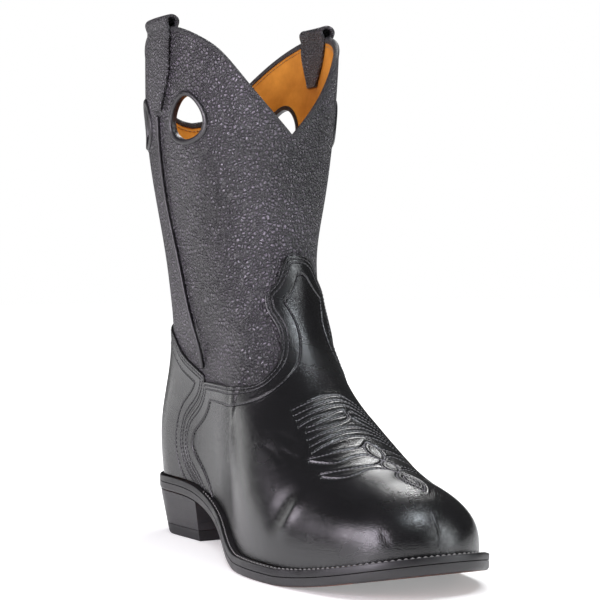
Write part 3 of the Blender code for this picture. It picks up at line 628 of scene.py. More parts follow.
# Upper: one form of thick leather drawn over a last, tight round the foot and rising into a
# straight shaft. Everything above the welt is laid on this form.
BOOT_HEIGHT = 0.313
THROAT_HEIGHT = 0.150
SHAFT_WIDTH = 0.114
FRONT_DIP = 0.068
BACK_DIP = 0.051
HEEL_BULGE = 0.0030
HEEL_BULGE_SPAN = (0.05, 0.32)  # shares of SOLE_LENGTH over which the heel's bulge fades
LATERAL_WAIST = 0.0030
MEDIAL_WAIST = 0.0120
WAIST_AT = 0.52
WAIST_REACH = 0.15
LEDGE_SPAN = (0.10, 0.45)  # shares of SOLE_LENGTH over which the welt's ledge widens
SHAFT_SPAN = (0.42, 1.05)  # shares of THROAT_HEIGHT over which foot turns into shaft
TOE_DEPTH = 0.135
TOE_POWER = 2.8
DOME_POWER = 2.3
DOME_ROOT = 0.48
OVAL_POWER = 2.15
BULGE = 0.030
TOE_CROWD = 1.25
TOE_END = HEEL_SEAT_CENTRE - SOLE_LENGTH + WELT_LEDGE + OVERLAY + GAP
BEHIND_RIDGE = 8  # rise over run of the ridge's line behind the throat
FOOT_RINGS_TO = 1.12  # share of THROAT_HEIGHT
RIDGE = np.array([  # share of SOLE_LENGTH, share of THROAT_HEIGHT: the line over the foot
    (1.020, 0.310),
    (0.960, 0.337),
    (0.880, 0.363),
    (0.800, 0.402),
    (0.730, 0.463),
    (0.660, 0.558),
    (0.600, 0.662),
    (0.550, 0.765),
    (0.510, 0.875),
    (0.478, 1.000),
])
SHAFT = np.array([  # height share from throat to peaks, front, back, half width, sideways shift
    (-0.60, 0.520, 0.030, 0.340, 0.000),
    (-0.30, 0.500, 0.040, 0.340, 0.000),
    (0.00, 0.478, 0.046, 0.338, -0.008),
    (0.15, 0.460, 0.034, 0.352, -0.010),
    (0.35, 0.456, 0.008, 0.405, 0.006),
    (0.60, 0.455, -0.018, 0.462, 0.022),
    (0.85, 0.456, -0.030, 0.484, 0.038),
    (1.00, 0.456, -0.034, 0.488, 0.045),
])
HEEL_LINE = np.array([  # share of THROAT_HEIGHT, share of SOLE_LENGTH: the back below the throat
    (0.20, 0.010),
    (0.32, -0.002),
    (0.45, -0.004),
    (0.58, 0.012),
    (0.72, 0.036),
    (0.86, 0.048),
    (1.00, 0.046),
])
FRONT_COLLAR = np.array([  # degrees from the front, share of FRONT_DIP
    (0, 1.000),
    (12, 0.820),
    (24, 0.625),
    (36, 0.410),
    (46, 0.250),
    (55, 0.155),
    (66, 0.070),
    (80, 0.010),
    (90, 0.000),
])
BACK_COLLAR = np.array([  # degrees from the back, share of BACK_DIP
    (0, 1.000),
    (14, 0.930),
    (32, 0.620),
    (52, 0.260),
    (70, 0.060),
    (82, 0.000),
    (90, 0.000),
])


def spline(points, samples):
    """Smooth curve through points: cubic() over the length of its chords."""
    points = np.asarray(points, float)
    t = np.r_[0, np.cumsum(np.linalg.norm(np.diff(points, axis=0), axis=1))]
    return cubic(t, points, np.linspace(0, t[-1], samples))


shaft_line = THROAT_HEIGHT + SHAFT[3:, 0] * (BOOT_HEIGHT - THROAT_HEIGHT)
front_line = spline(np.vstack([
    RIDGE * (SOLE_LENGTH, THROAT_HEIGHT),
    np.stack([SHAFT[3:, 1] * SOLE_LENGTH, shaft_line], 1),
]), 400)
back_line = spline(np.vstack([
    np.stack([HEEL_LINE[:, 1] * SOLE_LENGTH, HEEL_LINE[:, 0] * THROAT_HEIGHT], 1),
    np.stack([SHAFT[3:, 2] * SOLE_LENGTH, shaft_line], 1),
]), 300)


def welt_top(y):
    """Height of the welt's upper side."""
    return underside(y) + OUTSOLE_THICK + WELT_THICK


def back_y(z):
    """Y of the back line at a height."""
    return HEEL_SEAT_CENTRE - np.interp(z, back_line[:, 1], back_line[:, 0])


def front_y(z):
    """Y of the front line at a height above the foot's ridge."""
    return HEEL_SEAT_CENTRE - np.interp(z, front_line[:, 1], front_line[:, 0])


def ridge_height(y):
    """Height of the line along the top of the foot, drawn on past the toe; behind the throat it
    climbs 8 mm a millimetre to the collar's height."""
    ahead = HEEL_SEAT_CENTRE - np.asarray(y, float)
    foot = front_line[front_line[:, 1] < THROAT_HEIGHT][::-1]
    climb = np.minimum(foot[0, 1] + BEHIND_RIDGE * (foot[0, 0] - ahead), BOOT_HEIGHT)
    return np.where(ahead < foot[0, 0], climb, np.interp(ahead, foot[:, 0], foot[:, 1]))


def shaft_share(z):
    """0 where the upper follows the foot, 1 where it follows the shaft."""
    return rise(*SHAFT_SPAN, z / THROAT_HEIGHT)


def centre_line(y, z):
    """X of the upper's middle: the foot swings to the big toe, the shaft leans inwards."""
    shaft = shaft_share(z)
    share = (z - THROAT_HEIGHT) / (BOOT_HEIGHT - THROAT_HEIGHT)
    lean = cubic(SHAFT[:, 0], SHAFT[:, 4], share) * SHAFT_WIDTH
    return (1 - shaft) * toe_swing(y) + shaft * lean


def foot_half(y, z, side):
    """Half width of the foot: the sole's outline less its ledge, times a dome between welt and
    ridge, (1 - rise^2.3 - toe^2.8)^0.48, plus a bulge of sin^2 of the rise; the whole times a
    quarter circle at the heel's back."""
    share = np.clip(share_of(y), 0, 1)
    wider = rise(*LEDGE_SPAN, share_of(y))
    ledge = HEEL_LEDGE + (WELT_LEDGE - HEEL_LEDGE) * wider + OVERLAY + GAP
    half = cubic(OUTLINE[:, 0], OUTLINE[:, 1 if side < 0 else 2], share) * BALL_WIDTH - ledge
    low = welt_top(y)
    up = np.clip((z - low) / np.maximum(ridge_height(y) - low, 1e-6), 0, 1)
    depth = TOE_DEPTH * SOLE_LENGTH
    at_toe = np.clip((TOE_END + depth - y) / depth, 0, 1)
    heel = HEEL_CAP * SOLE_LENGTH
    at_heel = np.clip((y - (back_y(z) - heel)) / heel, 0, 1)
    dome = np.clip(1 - up ** DOME_POWER - at_toe ** TOE_POWER, 0, 1) ** DOME_ROOT
    waist = np.exp(-((share - WAIST_AT) / WAIST_REACH) ** 2)
    bulge = BULGE * half + HEEL_BULGE * (1 - rise(*HEEL_BULGE_SPAN, share))
    bulge = bulge + (LATERAL_WAIST if side < 0 else MEDIAL_WAIST) * waist
    return (half * dome + bulge * np.sin(math.pi * up) ** 2) * np.sqrt(1 - at_heel ** 2)


def shaft_half(y, z):
    """Half width of the shaft: an oval (1 - t^2.15)^0.5 between the front and the back line."""
    share = (z - THROAT_HEIGHT) / (BOOT_HEIGHT - THROAT_HEIGHT)
    half = cubic(SHAFT[:, 0], SHAFT[:, 3], share) * SHAFT_WIDTH
    front = front_y(z)
    across = np.clip(np.abs(2 * (y - front) / np.maximum(back_y(z) - front, 1e-6) - 1), 0, 1)
    return half * np.sqrt(1 - across ** OVAL_POWER)


def half_width(y, z, side):
    """Half width of the upper over a point of the side view, side -1 outer, 1 inner."""
    shaft = shaft_share(z)
    return (1 - shaft) * foot_half(y, z, side) + shaft * shaft_half(y, z)


def toe_front():
    """Front line of the foot with its rounded toe cap, from the welt up: rows of (y, z)."""
    at_toe = np.cos(np.linspace(0, math.pi / 2, 60)) ** (2 / TOE_POWER)
    y = TOE_END + TOE_DEPTH * SOLE_LENGTH * (1 - at_toe)
    low = welt_top(y) + SEAT_GAP
    up = (1 - at_toe ** TOE_POWER) ** (1 / DOME_POWER)
    nose = np.stack([y, low + up * (ridge_height(y) - low)], 1)
    line = np.stack([HEEL_SEAT_CENTRE - front_line[:, 0], front_line[:, 1]], 1)
    line = line[line[:, 0] > nose[-1, 0]]
    return np.vstack([nose, line[line[:, 1] > nose[-1, 1] + 0.0005]])


def along(line, count, z_end, power=1.0):
    """Points up a side line from its start to the height z_end, at shares t^power of its
    length for even t."""
    end = [[np.interp(z_end, line[:, 1], line[:, 0]), z_end]]
    inside = np.vstack([line[line[:, 1] < z_end], end])
    length = np.r_[0, np.cumsum(np.linalg.norm(np.diff(inside, axis=0), axis=1))]
    at = np.linspace(0, 1, count) ** power * length[-1]
    return np.stack([np.interp(at, length, inside[:, k]) for k in (0, 1)], 1)


def collar_height(angle):
    """Height of the collar's edge at an angle round the shaft, 0 at the front, pi at the back."""
    degrees = np.degrees(angle)
    front = cubic(FRONT_COLLAR[:, 0], FRONT_COLLAR[:, 1], np.clip(degrees, 0, 90)) * FRONT_DIP
    back = cubic(BACK_COLLAR[:, 0], BACK_COLLAR[:, 1], np.clip(180 - degrees, 0, 90)) * BACK_DIP
    return BOOT_HEIGHT - np.maximum(np.where(degrees < 90, front, back), 0)


def upper_form(rows_foot, rows_shaft, columns):
    """The upper's outer face as rings from the welt to the collar, with its unit normals. A ring
    of the foot is the form cut by a plane from the front line to the back line; a ring of the
    shaft is a share of the way to the collar's edge. Columns run from the front round the inner
    side to the back and on round the outer side."""
    top = FOOT_RINGS_TO * THROAT_HEIGHT
    front = along(toe_front(), rows_foot, top)[:, :, None]
    heel = np.stack([back_y(back_line[:, 1]), back_line[:, 1]], 1)
    heel = heel[heel[:, 1] >= welt_top(HEEL_SEAT_CENTRE) + SEAT_GAP]
    back = along(heel, rows_foot, top, 1.15)[:, :, None]
    turn = 2 * math.pi * np.arange(columns) / columns
    share = ((1 - np.cos(turn)) / 2) ** TOE_CROWD
    y = front[:, 0] + (back[:, 0] - front[:, 0]) * share
    z = front[:, 1] + (back[:, 1] - front[:, 1]) * share
    seat = welt_top(y) + SEAT_GAP
    chord = seat[:, :1] + (welt_top(back[:, 0]) + SEAT_GAP - seat[:, :1]) * share
    z = z + (seat - chord) * np.linspace(1, 0, rows_foot)[:, None] ** 3
    climb = np.arange(1, rows_shaft + 1)[:, None] / rows_shaft
    shaft_z = top + (collar_height(np.arccos(1 - 2 * share)) - top) * climb
    shaft_y = front_y(shaft_z) + (back_y(shaft_z) - front_y(shaft_z)) * share
    y = np.vstack([y, shaft_y])
    z = np.vstack([z, shaft_z])
    outer = turn > math.pi
    half = np.where(outer, half_width(y, z, -1), half_width(y, z, 1))
    grid = np.stack([centre_line(y, z) + np.where(outer, -half, half), y, z], -1)
    return grid, form_normals(grid)


def form_normals(grid):
    """Outward unit normals of closed rings: step along a ring crossed with step up."""
    across = np.roll(grid, -1, axis=1) - np.roll(grid, 1, axis=1)
    normal = np.cross(across, np.gradient(grid, axis=0))
    return normal / np.maximum(np.linalg.norm(normal, axis=2), 1e-12)[:, :, None]


def on_side(y, z, side, offset):
    """Points of the upper's side over a side-view place, moved outwards by offset, from the
    slopes of half_width() and centre_line() there."""
    y = np.asarray(y, float)
    z = np.asarray(z, float)
    step = 0.0005
    half = half_width(y, z, side)
    lean_y = (half_width(y + step, z, side) - half_width(y - step, z, side)) / (2 * step)
    lean_z = (half_width(y, z + step, side) - half_width(y, z - step, side)) / (2 * step)
    drift = side * (centre_line(y, z + step) - centre_line(y, z - step)) / (2 * step)
    normal = np.stack([np.ones_like(half) * side, -lean_y, -lean_z - drift], -1)
    normal /= np.linalg.norm(normal, axis=-1)[..., None]
    base = np.stack([centre_line(y, z) + side * half, y, z], -1)
    return base + np.asarray(offset, float)[..., None] * normal, normal


FORM_CELLS = (170, 112, 440)  # rings of the foot, rings of the shaft, columns
form, form_normal = upper_form(*FORM_CELLS)


def inside_outline(outline, y, z):
    """Whether side-view points lie in a closed outline: an odd number of its edges crosses the
    level line to the right of the point."""
    a = np.asarray(outline, float)
    b = np.roll(a, -1, axis=0)
    found = np.zeros(y.shape, bool)
    for (y0, z0), (y1, z1) in zip(a.tolist(), b.tolist()):
        if z0 != z1:
            spans = (z0 > z) != (z1 > z)
            found ^= spans & (y < y0 + (z - z0) * (y1 - y0) / (z1 - z0))
    return found


def nearest_on(curve, points, at_once=4000):
    """Nearest point of a 3-D polyline to each point: foot of the perpendicular on every segment,
    held to the segment, and the closest of them. Returns places, distances, lengths along."""
    a = curve[:-1]
    step = np.diff(curve, axis=0)
    squared = np.maximum((step ** 2).sum(1), 1e-16)
    start = np.r_[0, np.cumsum(np.sqrt(squared))[:-1]]
    places = np.empty_like(points)
    lengths = np.empty(len(points))
    for low in range(0, len(points), at_once):
        part = slice(low, low + at_once)
        here = points[part, None]
        t = np.clip(((here - a) * step).sum(2) / squared, 0, 1)
        foot = a + t[..., None] * step
        best = ((here - foot) ** 2).sum(2).argmin(1)
        row = np.arange(len(best))
        places[part] = foot[row, best]
        lengths[part] = start[best] + t[row, best] * np.sqrt(squared[best])
    return places, np.linalg.norm(places - points, axis=1), lengths


def cut_sheet(points, values, faces, level):
    """Cuts a triangle sheet where level is below 0: triangles with one or two corners inside are
    cut at the straight-line zero of their edges. values is carried along. Returns points,
    values, triangles and the indices of the corners that lie on the cut."""
    inside = level >= 0
    count = inside[faces].sum(1)
    whole = faces[count == 3]
    parts = [whole]
    extra_points = [points]
    extra_values = [values]
    total = len(points)

    def crossing(i, j):
        """Adds the points where the edges from i to j cross level 0 and returns their indices."""
        nonlocal total
        t = (level[i] / (level[i] - level[j]))[:, None]
        extra_points.append(points[i] + (points[j] - points[i]) * t)
        extra_values.append(values[i] + (values[j] - values[i]) * t)
        made = np.arange(total, total + len(i))
        total += len(i)
        return made

    for wanted in (1, 2):
        chosen = faces[count == wanted]
        odd = (inside[chosen] if wanted == 1 else ~inside[chosen]).argmax(1)
        row = np.arange(len(chosen))
        a = chosen[row, odd]
        b = chosen[row, (odd + 1) % 3]
        c = chosen[row, (odd + 2) % 3]
        if wanted == 1:
            parts.append(np.stack([a, crossing(a, b), crossing(a, c)], 1))
        else:
            ab = crossing(b, a)
            ac = crossing(c, a)
            parts.append(np.stack([ab, b, c], 1))
            parts.append(np.stack([ab, c, ac], 1))
    points = np.vstack(extra_points)
    values = np.vstack(extra_values)
    faces = np.vstack(parts)
    cut = np.zeros(len(points), bool)
    cut[len(level):] = True
    cut[:len(level)] = np.abs(level) < 1e-9
    keys, first, back = np.unique(
        np.round(points, 7), axis=0, return_index=True, return_inverse=True
    )
    back = back.ravel()
    on_cut = np.zeros(len(keys), bool)
    np.logical_or.at(on_cut, back, cut)
    faces = back[faces]
    faces = faces[(faces != np.roll(faces, 1, axis=1)).all(1)]
    used = np.unique(faces)
    rename = np.full(len(keys), -1)
    rename[used] = np.arange(len(used))
    return points[first][used], values[first][used], rename[faces], on_cut[used]


def edges_of(faces):
    """Edges of triangles, in their turning sense: all first ones, then the second and third."""
    return np.vstack([faces[:, [0, 1]], faces[:, [1, 2]], faces[:, [2, 0]]])


def rim_edges(faces, on_cut):
    """Edges of a triangle sheet that one triangle alone has and whose ends both lie on a cut, in
    the turning sense of that triangle."""
    edges = edges_of(faces)
    keys = np.sort(edges, axis=1)
    _, back, counts = np.unique(keys, axis=0, return_inverse=True, return_counts=True)
    single = edges[counts[back.ravel()] == 1]
    return single[on_cut[single].all(1)]


def sheet_faces(rows, columns):
    """Triangles of a grid of closed rings."""
    quads = grid_faces(rows, columns, False, True)
    return np.vstack([quads[:, [0, 1, 2]], quads[:, [0, 2, 3]]])


def halve(points, values, faces, wanted):
    """Splits the triangles whose corners are wanted at their edges' middles: an edge is halved
    when both its ends are wanted, and a triangle with one or two halved edges is cut to match,
    so that the sheet stays whole."""
    edges = np.stack([faces[:, [0, 1]], faces[:, [1, 2]], faces[:, [2, 0]]], 1)
    marked = wanted[edges].all(2)
    keys, back = np.unique(np.sort(edges[marked], axis=1), axis=0, return_inverse=True)
    made = np.full(marked.shape, -1)
    made[marked] = back.ravel() + len(points)
    points = np.vstack([points, points[keys].mean(1)])
    values = np.vstack([values, values[keys].mean(1)])
    count = marked.sum(1)
    parts = [faces[count == 0]]
    chosen, mid = faces[count == 3], made[count == 3]
    parts += [np.stack([chosen[:, k], mid[:, k], mid[:, k - 1]], 1) for k in range(3)] + [mid]
    for k in range(3):
        one = (count == 1) & marked[:, k]
        a, b, c = faces[one][:, [k, (k + 1) % 3, (k + 2) % 3]].T
        m = made[one, k]
        parts += [np.stack([a, m, c], 1), np.stack([m, b, c], 1)]
        two = (count == 2) & ~marked[:, k]
        a, b, c = faces[two][:, [k, (k + 1) % 3, (k + 2) % 3]].T
        m, n = made[two, (k + 1) % 3], made[two, (k + 2) % 3]
        parts += [np.stack([m, c, n], 1), np.stack([a, b, m], 1), np.stack([a, m, n], 1)]
    return points, values, np.vstack(parts)


SNAP = 0.00022
TUCK = 0.002
SHEET_CREASE = 50


def laid_sheet(
    name, curves, keep, height, edge_radius, drop, rings, every=1, inward=False, fine=()
):
    """Sheet cut from the upper's form along curves and rolled over at its cut edges.

    The level is the distance from the nearest curve less the edge radius; corners that lie
    within SNAP of the cut, about a quarter of a cell, are first moved on to it. height gives the
    lift above the form from distance, length along the curve and place. The rolled edge is a
    quarter circle of edge_radius outwards along the surface, then a straight drop and a TUCK
    back under the sheet. every=2 keeps each second column of the form, for a coarser sheet.
    inward turns the sheet over, so that it faces into the boot and lifts count inwards. fine is
    a list of tests of place that say where to halve the triangles. Returns the object and its
    face as arrays of points, normals, distances, lengths along the curve and triangles."""
    turned = -1 if inward else 1
    base = form[rings][:, ::every].reshape(-1, 3)
    normal = form_normal[rings][:, ::every].reshape(-1, 3) * turned
    faces = sheet_faces(len(rings), len(range(0, form.shape[1], every)))[:, ::turned]
    place, distance, length = nearest_on(curves[0], base)
    for curve in curves[1:]:
        other, apart, run = nearest_on(curve, base)
        closer = apart < distance
        place[closer] = other[closer]
        distance[closer] = apart[closer]
        length[closer] = run[closer]
    kept = keep(base)
    level = np.where(kept, distance, -distance) - edge_radius
    near = (np.abs(level) < SNAP * every) & kept
    base[near] = place[near] + (base - place)[near] * (edge_radius / distance[near])[:, None]
    distance[near] = edge_radius
    level[near] = 0
    values = np.column_stack([normal, distance, length, place])
    wanted = (level[faces] >= 0).any(1)
    base, values, faces, on_cut = cut_sheet(base, values, faces[wanted], level)
    for test in fine:
        before = len(base)
        base, values, faces = halve(base, values, faces, test(base) & ~on_cut)
        on_cut = np.r_[on_cut, np.zeros(len(base) - before, bool)]
    normal = values[:, :3] / np.maximum(np.linalg.norm(values[:, :3], axis=1), 1e-9)[:, None]
    points = base + normal * height(values[:, 3], values[:, 4], base)[:, None]
    rim = rim_edges(faces, on_cut)
    corner = np.unique(rim)
    out = values[corner, 5:8] - base[corner]
    out -= normal[corner] * (out * normal[corner]).sum(1)[:, None]
    out /= np.maximum(np.linalg.norm(out, axis=1), 1e-9)[:, None]
    turns = np.linspace(0, math.pi / 2, 5)[1:]
    rolls = [(edge_radius * math.sin(t), edge_radius * (math.cos(t) - 1)) for t in turns]
    rolls += [(edge_radius, -drop), (-TUCK, -drop)]
    index = np.full(len(base), -1)
    index[corner] = np.arange(len(corner))
    rows = [points]
    quads = []
    before = rim
    for k, (aside, down) in enumerate(rolls):
        rows.append(points[corner] + out * aside + normal[corner] * down)
        after = len(points) + k * len(corner) + index[rim]
        quads.append(np.column_stack([before[:, 1], before[:, 0], after[:, 0], after[:, 1]]))
        before = after
    quads = np.vstack(quads)
    whole = np.vstack([faces, quads[:, [0, 1, 2]], quads[:, [0, 2, 3]]])
    made = add_mesh(name, np.vstack(rows), whole, sharp=SHEET_CREASE)
    edge = made.data.attributes.new("edge", "FLOAT", "POINT")
    apart = np.r_[values[:, 3], np.zeros(len(corner) * len(rolls))].astype(np.float32)
    edge.data.foreach_set("value", apart)
    return made, (points, normal, values[:, 3], values[:, 4], faces)


def row_at(face, distance, step=0.0008):
    """Path of places and normals along a laid sheet's face at a distance from its cut edge:
    where its triangles' edges cross that distance, in order of length along the edge curve and
    averaged over every step of it."""
    points, normal, apart, run, faces = face
    edges = np.unique(np.sort(edges_of(faces), axis=1), axis=0)
    a, b = edges[((apart[edges[:, 0]] - distance) * (apart[edges[:, 1]] - distance)) < 0].T
    t = ((distance - apart[a]) / (apart[b] - apart[a]))[:, None]
    whole = np.column_stack([points, normal, run])
    crossed = whole[a] + (whole[b] - whole[a]) * t
    bins = np.floor(crossed[:, 6] / step).astype(int)
    kept, back, counts = np.unique(bins, return_inverse=True, return_counts=True)
    sums = np.zeros((len(kept), 7))
    np.add.at(sums, back.ravel(), crossed)
    return (sums / counts[:, None])[:, :6]


# Shaft: soft milled cowhide with a pebbled grain, black, with a grey painted sheen on the high spots
# that stands in for their highlights. Four pull holes go through it and its lining, two to a side.
HOLE_WIDTH = 0.0265
HOLE_HEIGHT = 0.0265
HOLE_TAPER = 0.25
HOLE_BELOW_PEAK = 0.056
HOLE_FROM_SEAM = 0.0295
HOLE_CORNERS = 120
SHAFT_MIDDLE = 0.006
SHAFT_SEAM = np.array([  # share of SOLE_LENGTH, share of BOOT_HEIGHT
    (0.290, 0.335),
    (0.292, 0.380),
    (0.281, 0.418),
    (0.261, 0.487),
    (0.243, 0.545),
    (0.227, 0.603),
    (0.216, 0.658),
    (0.212, 0.730),
    (0.212, 0.820),
    (0.212, 1.010),
])


def seam_at(z):
    """Y of the shaft's side seam at a height."""
    ahead = np.interp(z / BOOT_HEIGHT, SHAFT_SEAM[:, 1], SHAFT_SEAM[:, 0])
    return HEEL_SEAT_CENTRE - SOLE_LENGTH * ahead


def egg(centre_y, centre_z, grow, count):
    """Egg outline of a pull hole in the side view: an ellipse whose width falls with height."""
    turn = 2 * math.pi * np.arange(count) / count
    y = centre_y + (HOLE_WIDTH / 2 + grow) * np.cos(turn) * (1 - HOLE_TAPER * np.sin(turn))
    return np.stack([y, centre_z + (HOLE_HEIGHT / 2 + grow) * np.sin(turn)], 1)


SIDES = ((-1, "lateral"), (1, "medial"))
hole_z = BOOT_HEIGHT - HOLE_BELOW_PEAK
holes = [
    (end + "_" + where, side, seam_at(hole_z) + step * HOLE_FROM_SEAM)
    for side, where in SIDES
    for step, end in ((-1, "front"), (1, "back"))
]


def on_form(y, z, side):
    """Points of the upper's form over side-view places."""
    return np.stack([centre_line(y, z) + side * half_width(y, z, side), y, z], -1)


hole_curves = []
for name, side, y in holes:
    loop = egg(y, hole_z, 0, HOLE_CORNERS)
    loop = np.vstack([loop, loop[:1]])
    hole_curves.append(on_form(loop[:, 0], loop[:, 1], side))


def outside_holes(base):
    """True where a point of the form isn't in one of the pull holes."""
    free = np.ones(len(base), bool)
    for name, side, y in holes:
        beside = (base[:, 0] > SHAFT_MIDDLE) == (side > 0)
        loop = egg(y, hole_z, 0, HOLE_CORNERS)
        free &= ~(beside & inside_outline(loop, base[:, 1], base[:, 2]))
    return free


MM = 0.001
FOLD_FADE = 0.35
FOLDS_FROM_EDGE = 0.004


def folds(points, table):
    """Depth of the outer side's folds: each a Gaussian valley across a line of (mm from the
    heel, mm up), fading out over the first and last third of the line."""
    total = np.zeros(len(points))
    for line, width, depth in table:
        path = spline(np.array(line) * MM, 30)
        curve = on_form(HEEL_SEAT_CENTRE - path[:, 0], path[:, 1], -1)
        place, apart, run = nearest_on(curve, points)
        share = run / np.linalg.norm(np.diff(curve, axis=0), axis=1).sum()
        fade = rise(0, FOLD_FADE, share) * (1 - rise(1 - FOLD_FADE, 1, share))
        total += depth * MM * fade * np.exp(-(apart / (width * MM)) ** 2)
    return total


SHAFT_FOLDS = [  # outer side: places as mm from the heel and mm up, half width and depth in mm
    ([(110, 257), (123, 253), (134, 244)], 6, 1.3),
    ([(113, 286), (125, 270), (134, 253)], 6, -0.8),
    ([(93, 201), (122, 189), (137, 192)], 9, 1.3),
    ([(60, 131), (108, 122), (142, 129)], 8, 1.2),
    ([(65, 221), (61, 179), (68, 130)], 6, 0.7),
]


def shaft_height(distance, run, base):
    """Lift of the shaft's face: its soft folds, which fade in over 4 mm from a cut edge."""
    return -folds(base, SHAFT_FOLDS) * rise(0, FOLDS_FROM_EDGE, distance)


def pebble_group():
    """Pebbled grain: cells of a warped Voronoi, domed by their distance to the nearest joint,
    with finer cells inside the large ones. Puts out height, joints and a cloudy tone."""
    tree, given, out = new_group(
        "pebbled grain",
        [("Vector", "Vector", None), ("Pebbles", "Float", 520.0)],
        [("Height", "Float"), ("Joint", "Float"), ("Cloud", "Float")],
    )
    vector = given.outputs["Vector"]
    wander = node(tree, "TexNoise", Vector=vector, Scale=150.0, Detail=2.0)
    centred = node(
        tree, "VectorMath", {"operation": "SUBTRACT"}, _0=wander.outputs["Color"], _1=(0.5, 0.5, 0.5)
    )
    small = node(tree, "VectorMath", {"operation": "SCALE"}, _0=centred.outputs[0], Scale=0.0035)
    warped = node(tree, "VectorMath", {"operation": "ADD"}, _0=vector, _1=small.outputs[0])
    cells = node(
        tree, "TexVoronoi", {"feature": "DISTANCE_TO_EDGE"},
        Vector=warped.outputs[0], Scale=given.outputs["Pebbles"],
    )
    to_joint = cells.outputs["Distance"]
    dome = node(
        tree, "MapRange", {"interpolation_type": "SMOOTHSTEP"}, _0=to_joint, _1=0.0, _2=0.34
    )
    finer = node(tree, "Math", {"operation": "MULTIPLY"}, _0=given.outputs["Pebbles"], _1=2.3)
    fine = node(
        tree, "TexVoronoi", {"feature": "F1"}, Vector=warped.outputs[0], Scale=finer.outputs[0]
    )
    mixed = node(
        tree, "Math", {"operation": "MULTIPLY_ADD"},
        _0=fine.outputs["Distance"], _1=-0.28, _2=dome.outputs[0],
    )
    joint = node(tree, "MapRange", _0=to_joint, _1=0.06, _2=0.36, _3=1.0, _4=0.0)
    cloud = node(tree, "TexNoise", Vector=vector, Scale=22.0, Detail=4.0)
    tree.links.new(mixed.outputs[0], out.inputs["Height"])
    tree.links.new(joint.outputs[0], out.inputs["Joint"])
    tree.links.new(cloud.outputs["Fac"], out.inputs["Cloud"])
    return tree


pebbled_grain = pebble_group()


def pebbled_leather(name, colour, painted_sheen, roughness, depth=0.0009, pebbles=470.0):
    """Black pebbled leather: ink in the joints, a grey painted sheen on the high spots."""
    made, tree, shader = leather(name, colour, roughness, specular=1.0)
    place = node(tree, "TexCoord").outputs["Object"]
    grain = node(tree, "Group", {"node_tree": pebbled_grain}, Vector=place, Pebbles=pebbles)
    joint = grain.outputs["Joint"]
    tall = node(tree, "MapRange", _0=joint, _1=1.0, _2=0.0)
    patchy = node(tree, "MapRange", _0=grain.outputs["Cloud"], _1=0.35, _2=0.65, _3=0.30, _4=1.0)
    share = node(tree, "Math", {"operation": "MULTIPLY"}, _0=tall.outputs[0], _1=patchy.outputs[0])
    # Painted sheen: the high spots, patchy under the cloud, are mixed from black towards a grey that
    # stands in for their highlights; the black joints are the leather's own ink.
    shade = node(
        tree, "Mix", {"data_type": "RGBA"}, _0=share.outputs[0], _6=(*colour, 1), _7=(*painted_sheen, 1)
    )
    gloss = node(tree, "MapRange", _0=joint, _1=0.0, _2=1.0, _3=roughness, _4=roughness + 0.2)
    bump = node(tree, "Bump", Height=grain.outputs["Height"], Strength=1.0, Distance=depth)
    tree.links.new(shade.outputs[2], shader.inputs["Base Color"])
    tree.links.new(gloss.outputs[0], shader.inputs["Roughness"])
    tree.links.new(bump.outputs["Normal"], shader.inputs["Normal"])
    return made


SHAFT_FROM = 0.62  # share of THROAT_HEIGHT: below it the vamp and the counter cover the form
SHAFT_ROLL = 0.0006
SHAFT_DROP = 0.0012
all_rings = np.arange(len(form))
above_vamp = all_rings[form[:, :, 2].max(1) > SHAFT_FROM * THROAT_HEIGHT]
shaft_wall, _ = laid_sheet(
    "shaft_wall", hole_curves, outside_holes, shaft_height, SHAFT_ROLL, SHAFT_DROP, above_vamp
)
# The second colour is a grey painted sheen on the pebbles' tops; the first is the black ink of the joints.
shaft_wall.data.materials.append(
    pebbled_leather("shaft pebbled leather", (0.003, 0.0028, 0.0034), (0.170, 0.146, 0.184), 0.24)
)
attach(shaft_wall, "root")
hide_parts("upper")


# Lining: smooth golden-tan leather glued inside the whole boot, down to the insole, and cut out
# at the pull holes. A row of stitches holds it below the collar.
LINING_ROLL = 0.0004
LINING_DROP = 0.0010


def even_lift(lift):
    """Height of a sheet that lies at the same lift all over."""
    def height(distance, run, base):
        """The lift, once for each point."""
        return np.full(len(base), lift)
    return height


half_rings = np.r_[np.arange(0, len(form) - 1, 2), len(form) - 1]
lining, _ = laid_sheet(
    "lining", hole_curves, outside_holes, even_lift(WALL), LINING_ROLL, LINING_DROP, half_rings,
    every=2, inward=True,
)
lining.data.materials.append(
    tan_leather("lining leather", (0.42, 0.150, 0.016), (0.74, 0.32, 0.045), 0.75)
)
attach(lining, "root")


# Collar edge: the shaft's leather is turned over the rim on to the lining. A row of tan stitches
# below the fold holds the two together.
COLLAR_FOLD = [  # outwards from the form, up from the rim: outside, over the rim, inside
    (0.0000, -0.0020),
    (0.0002, -0.0017),
    (0.0003, -0.0008),
    (0.0002, -0.0001),
    (-0.0003, 0.0005),
    (-0.0012, 0.0008),
    (-0.0022, 0.0006),
    (-0.0030, 0.0000),
    (-0.0033, -0.0010),
    (-0.0034, -0.0026),
    (-0.0031, -0.0031),
    (-0.0025, -0.0032),
]
LINING_ROW = (-0.0029, -0.0052)  # outwards from the form, up from the rim
LINING_STITCH = (0.0030, 0.0025, 0.00026)  # pitch, length, radius


def round_collar(profile):
    """Grid of a profile of (outwards, up) carried round the collar's rim, up being the way in
    which the form climbs there."""
    rim = form[-1]
    up = form[-1] - form[-3]
    up /= np.linalg.norm(up, axis=1)[:, None]
    return np.array([rim + form_normal[-1] * n + up * t for n, t in profile])


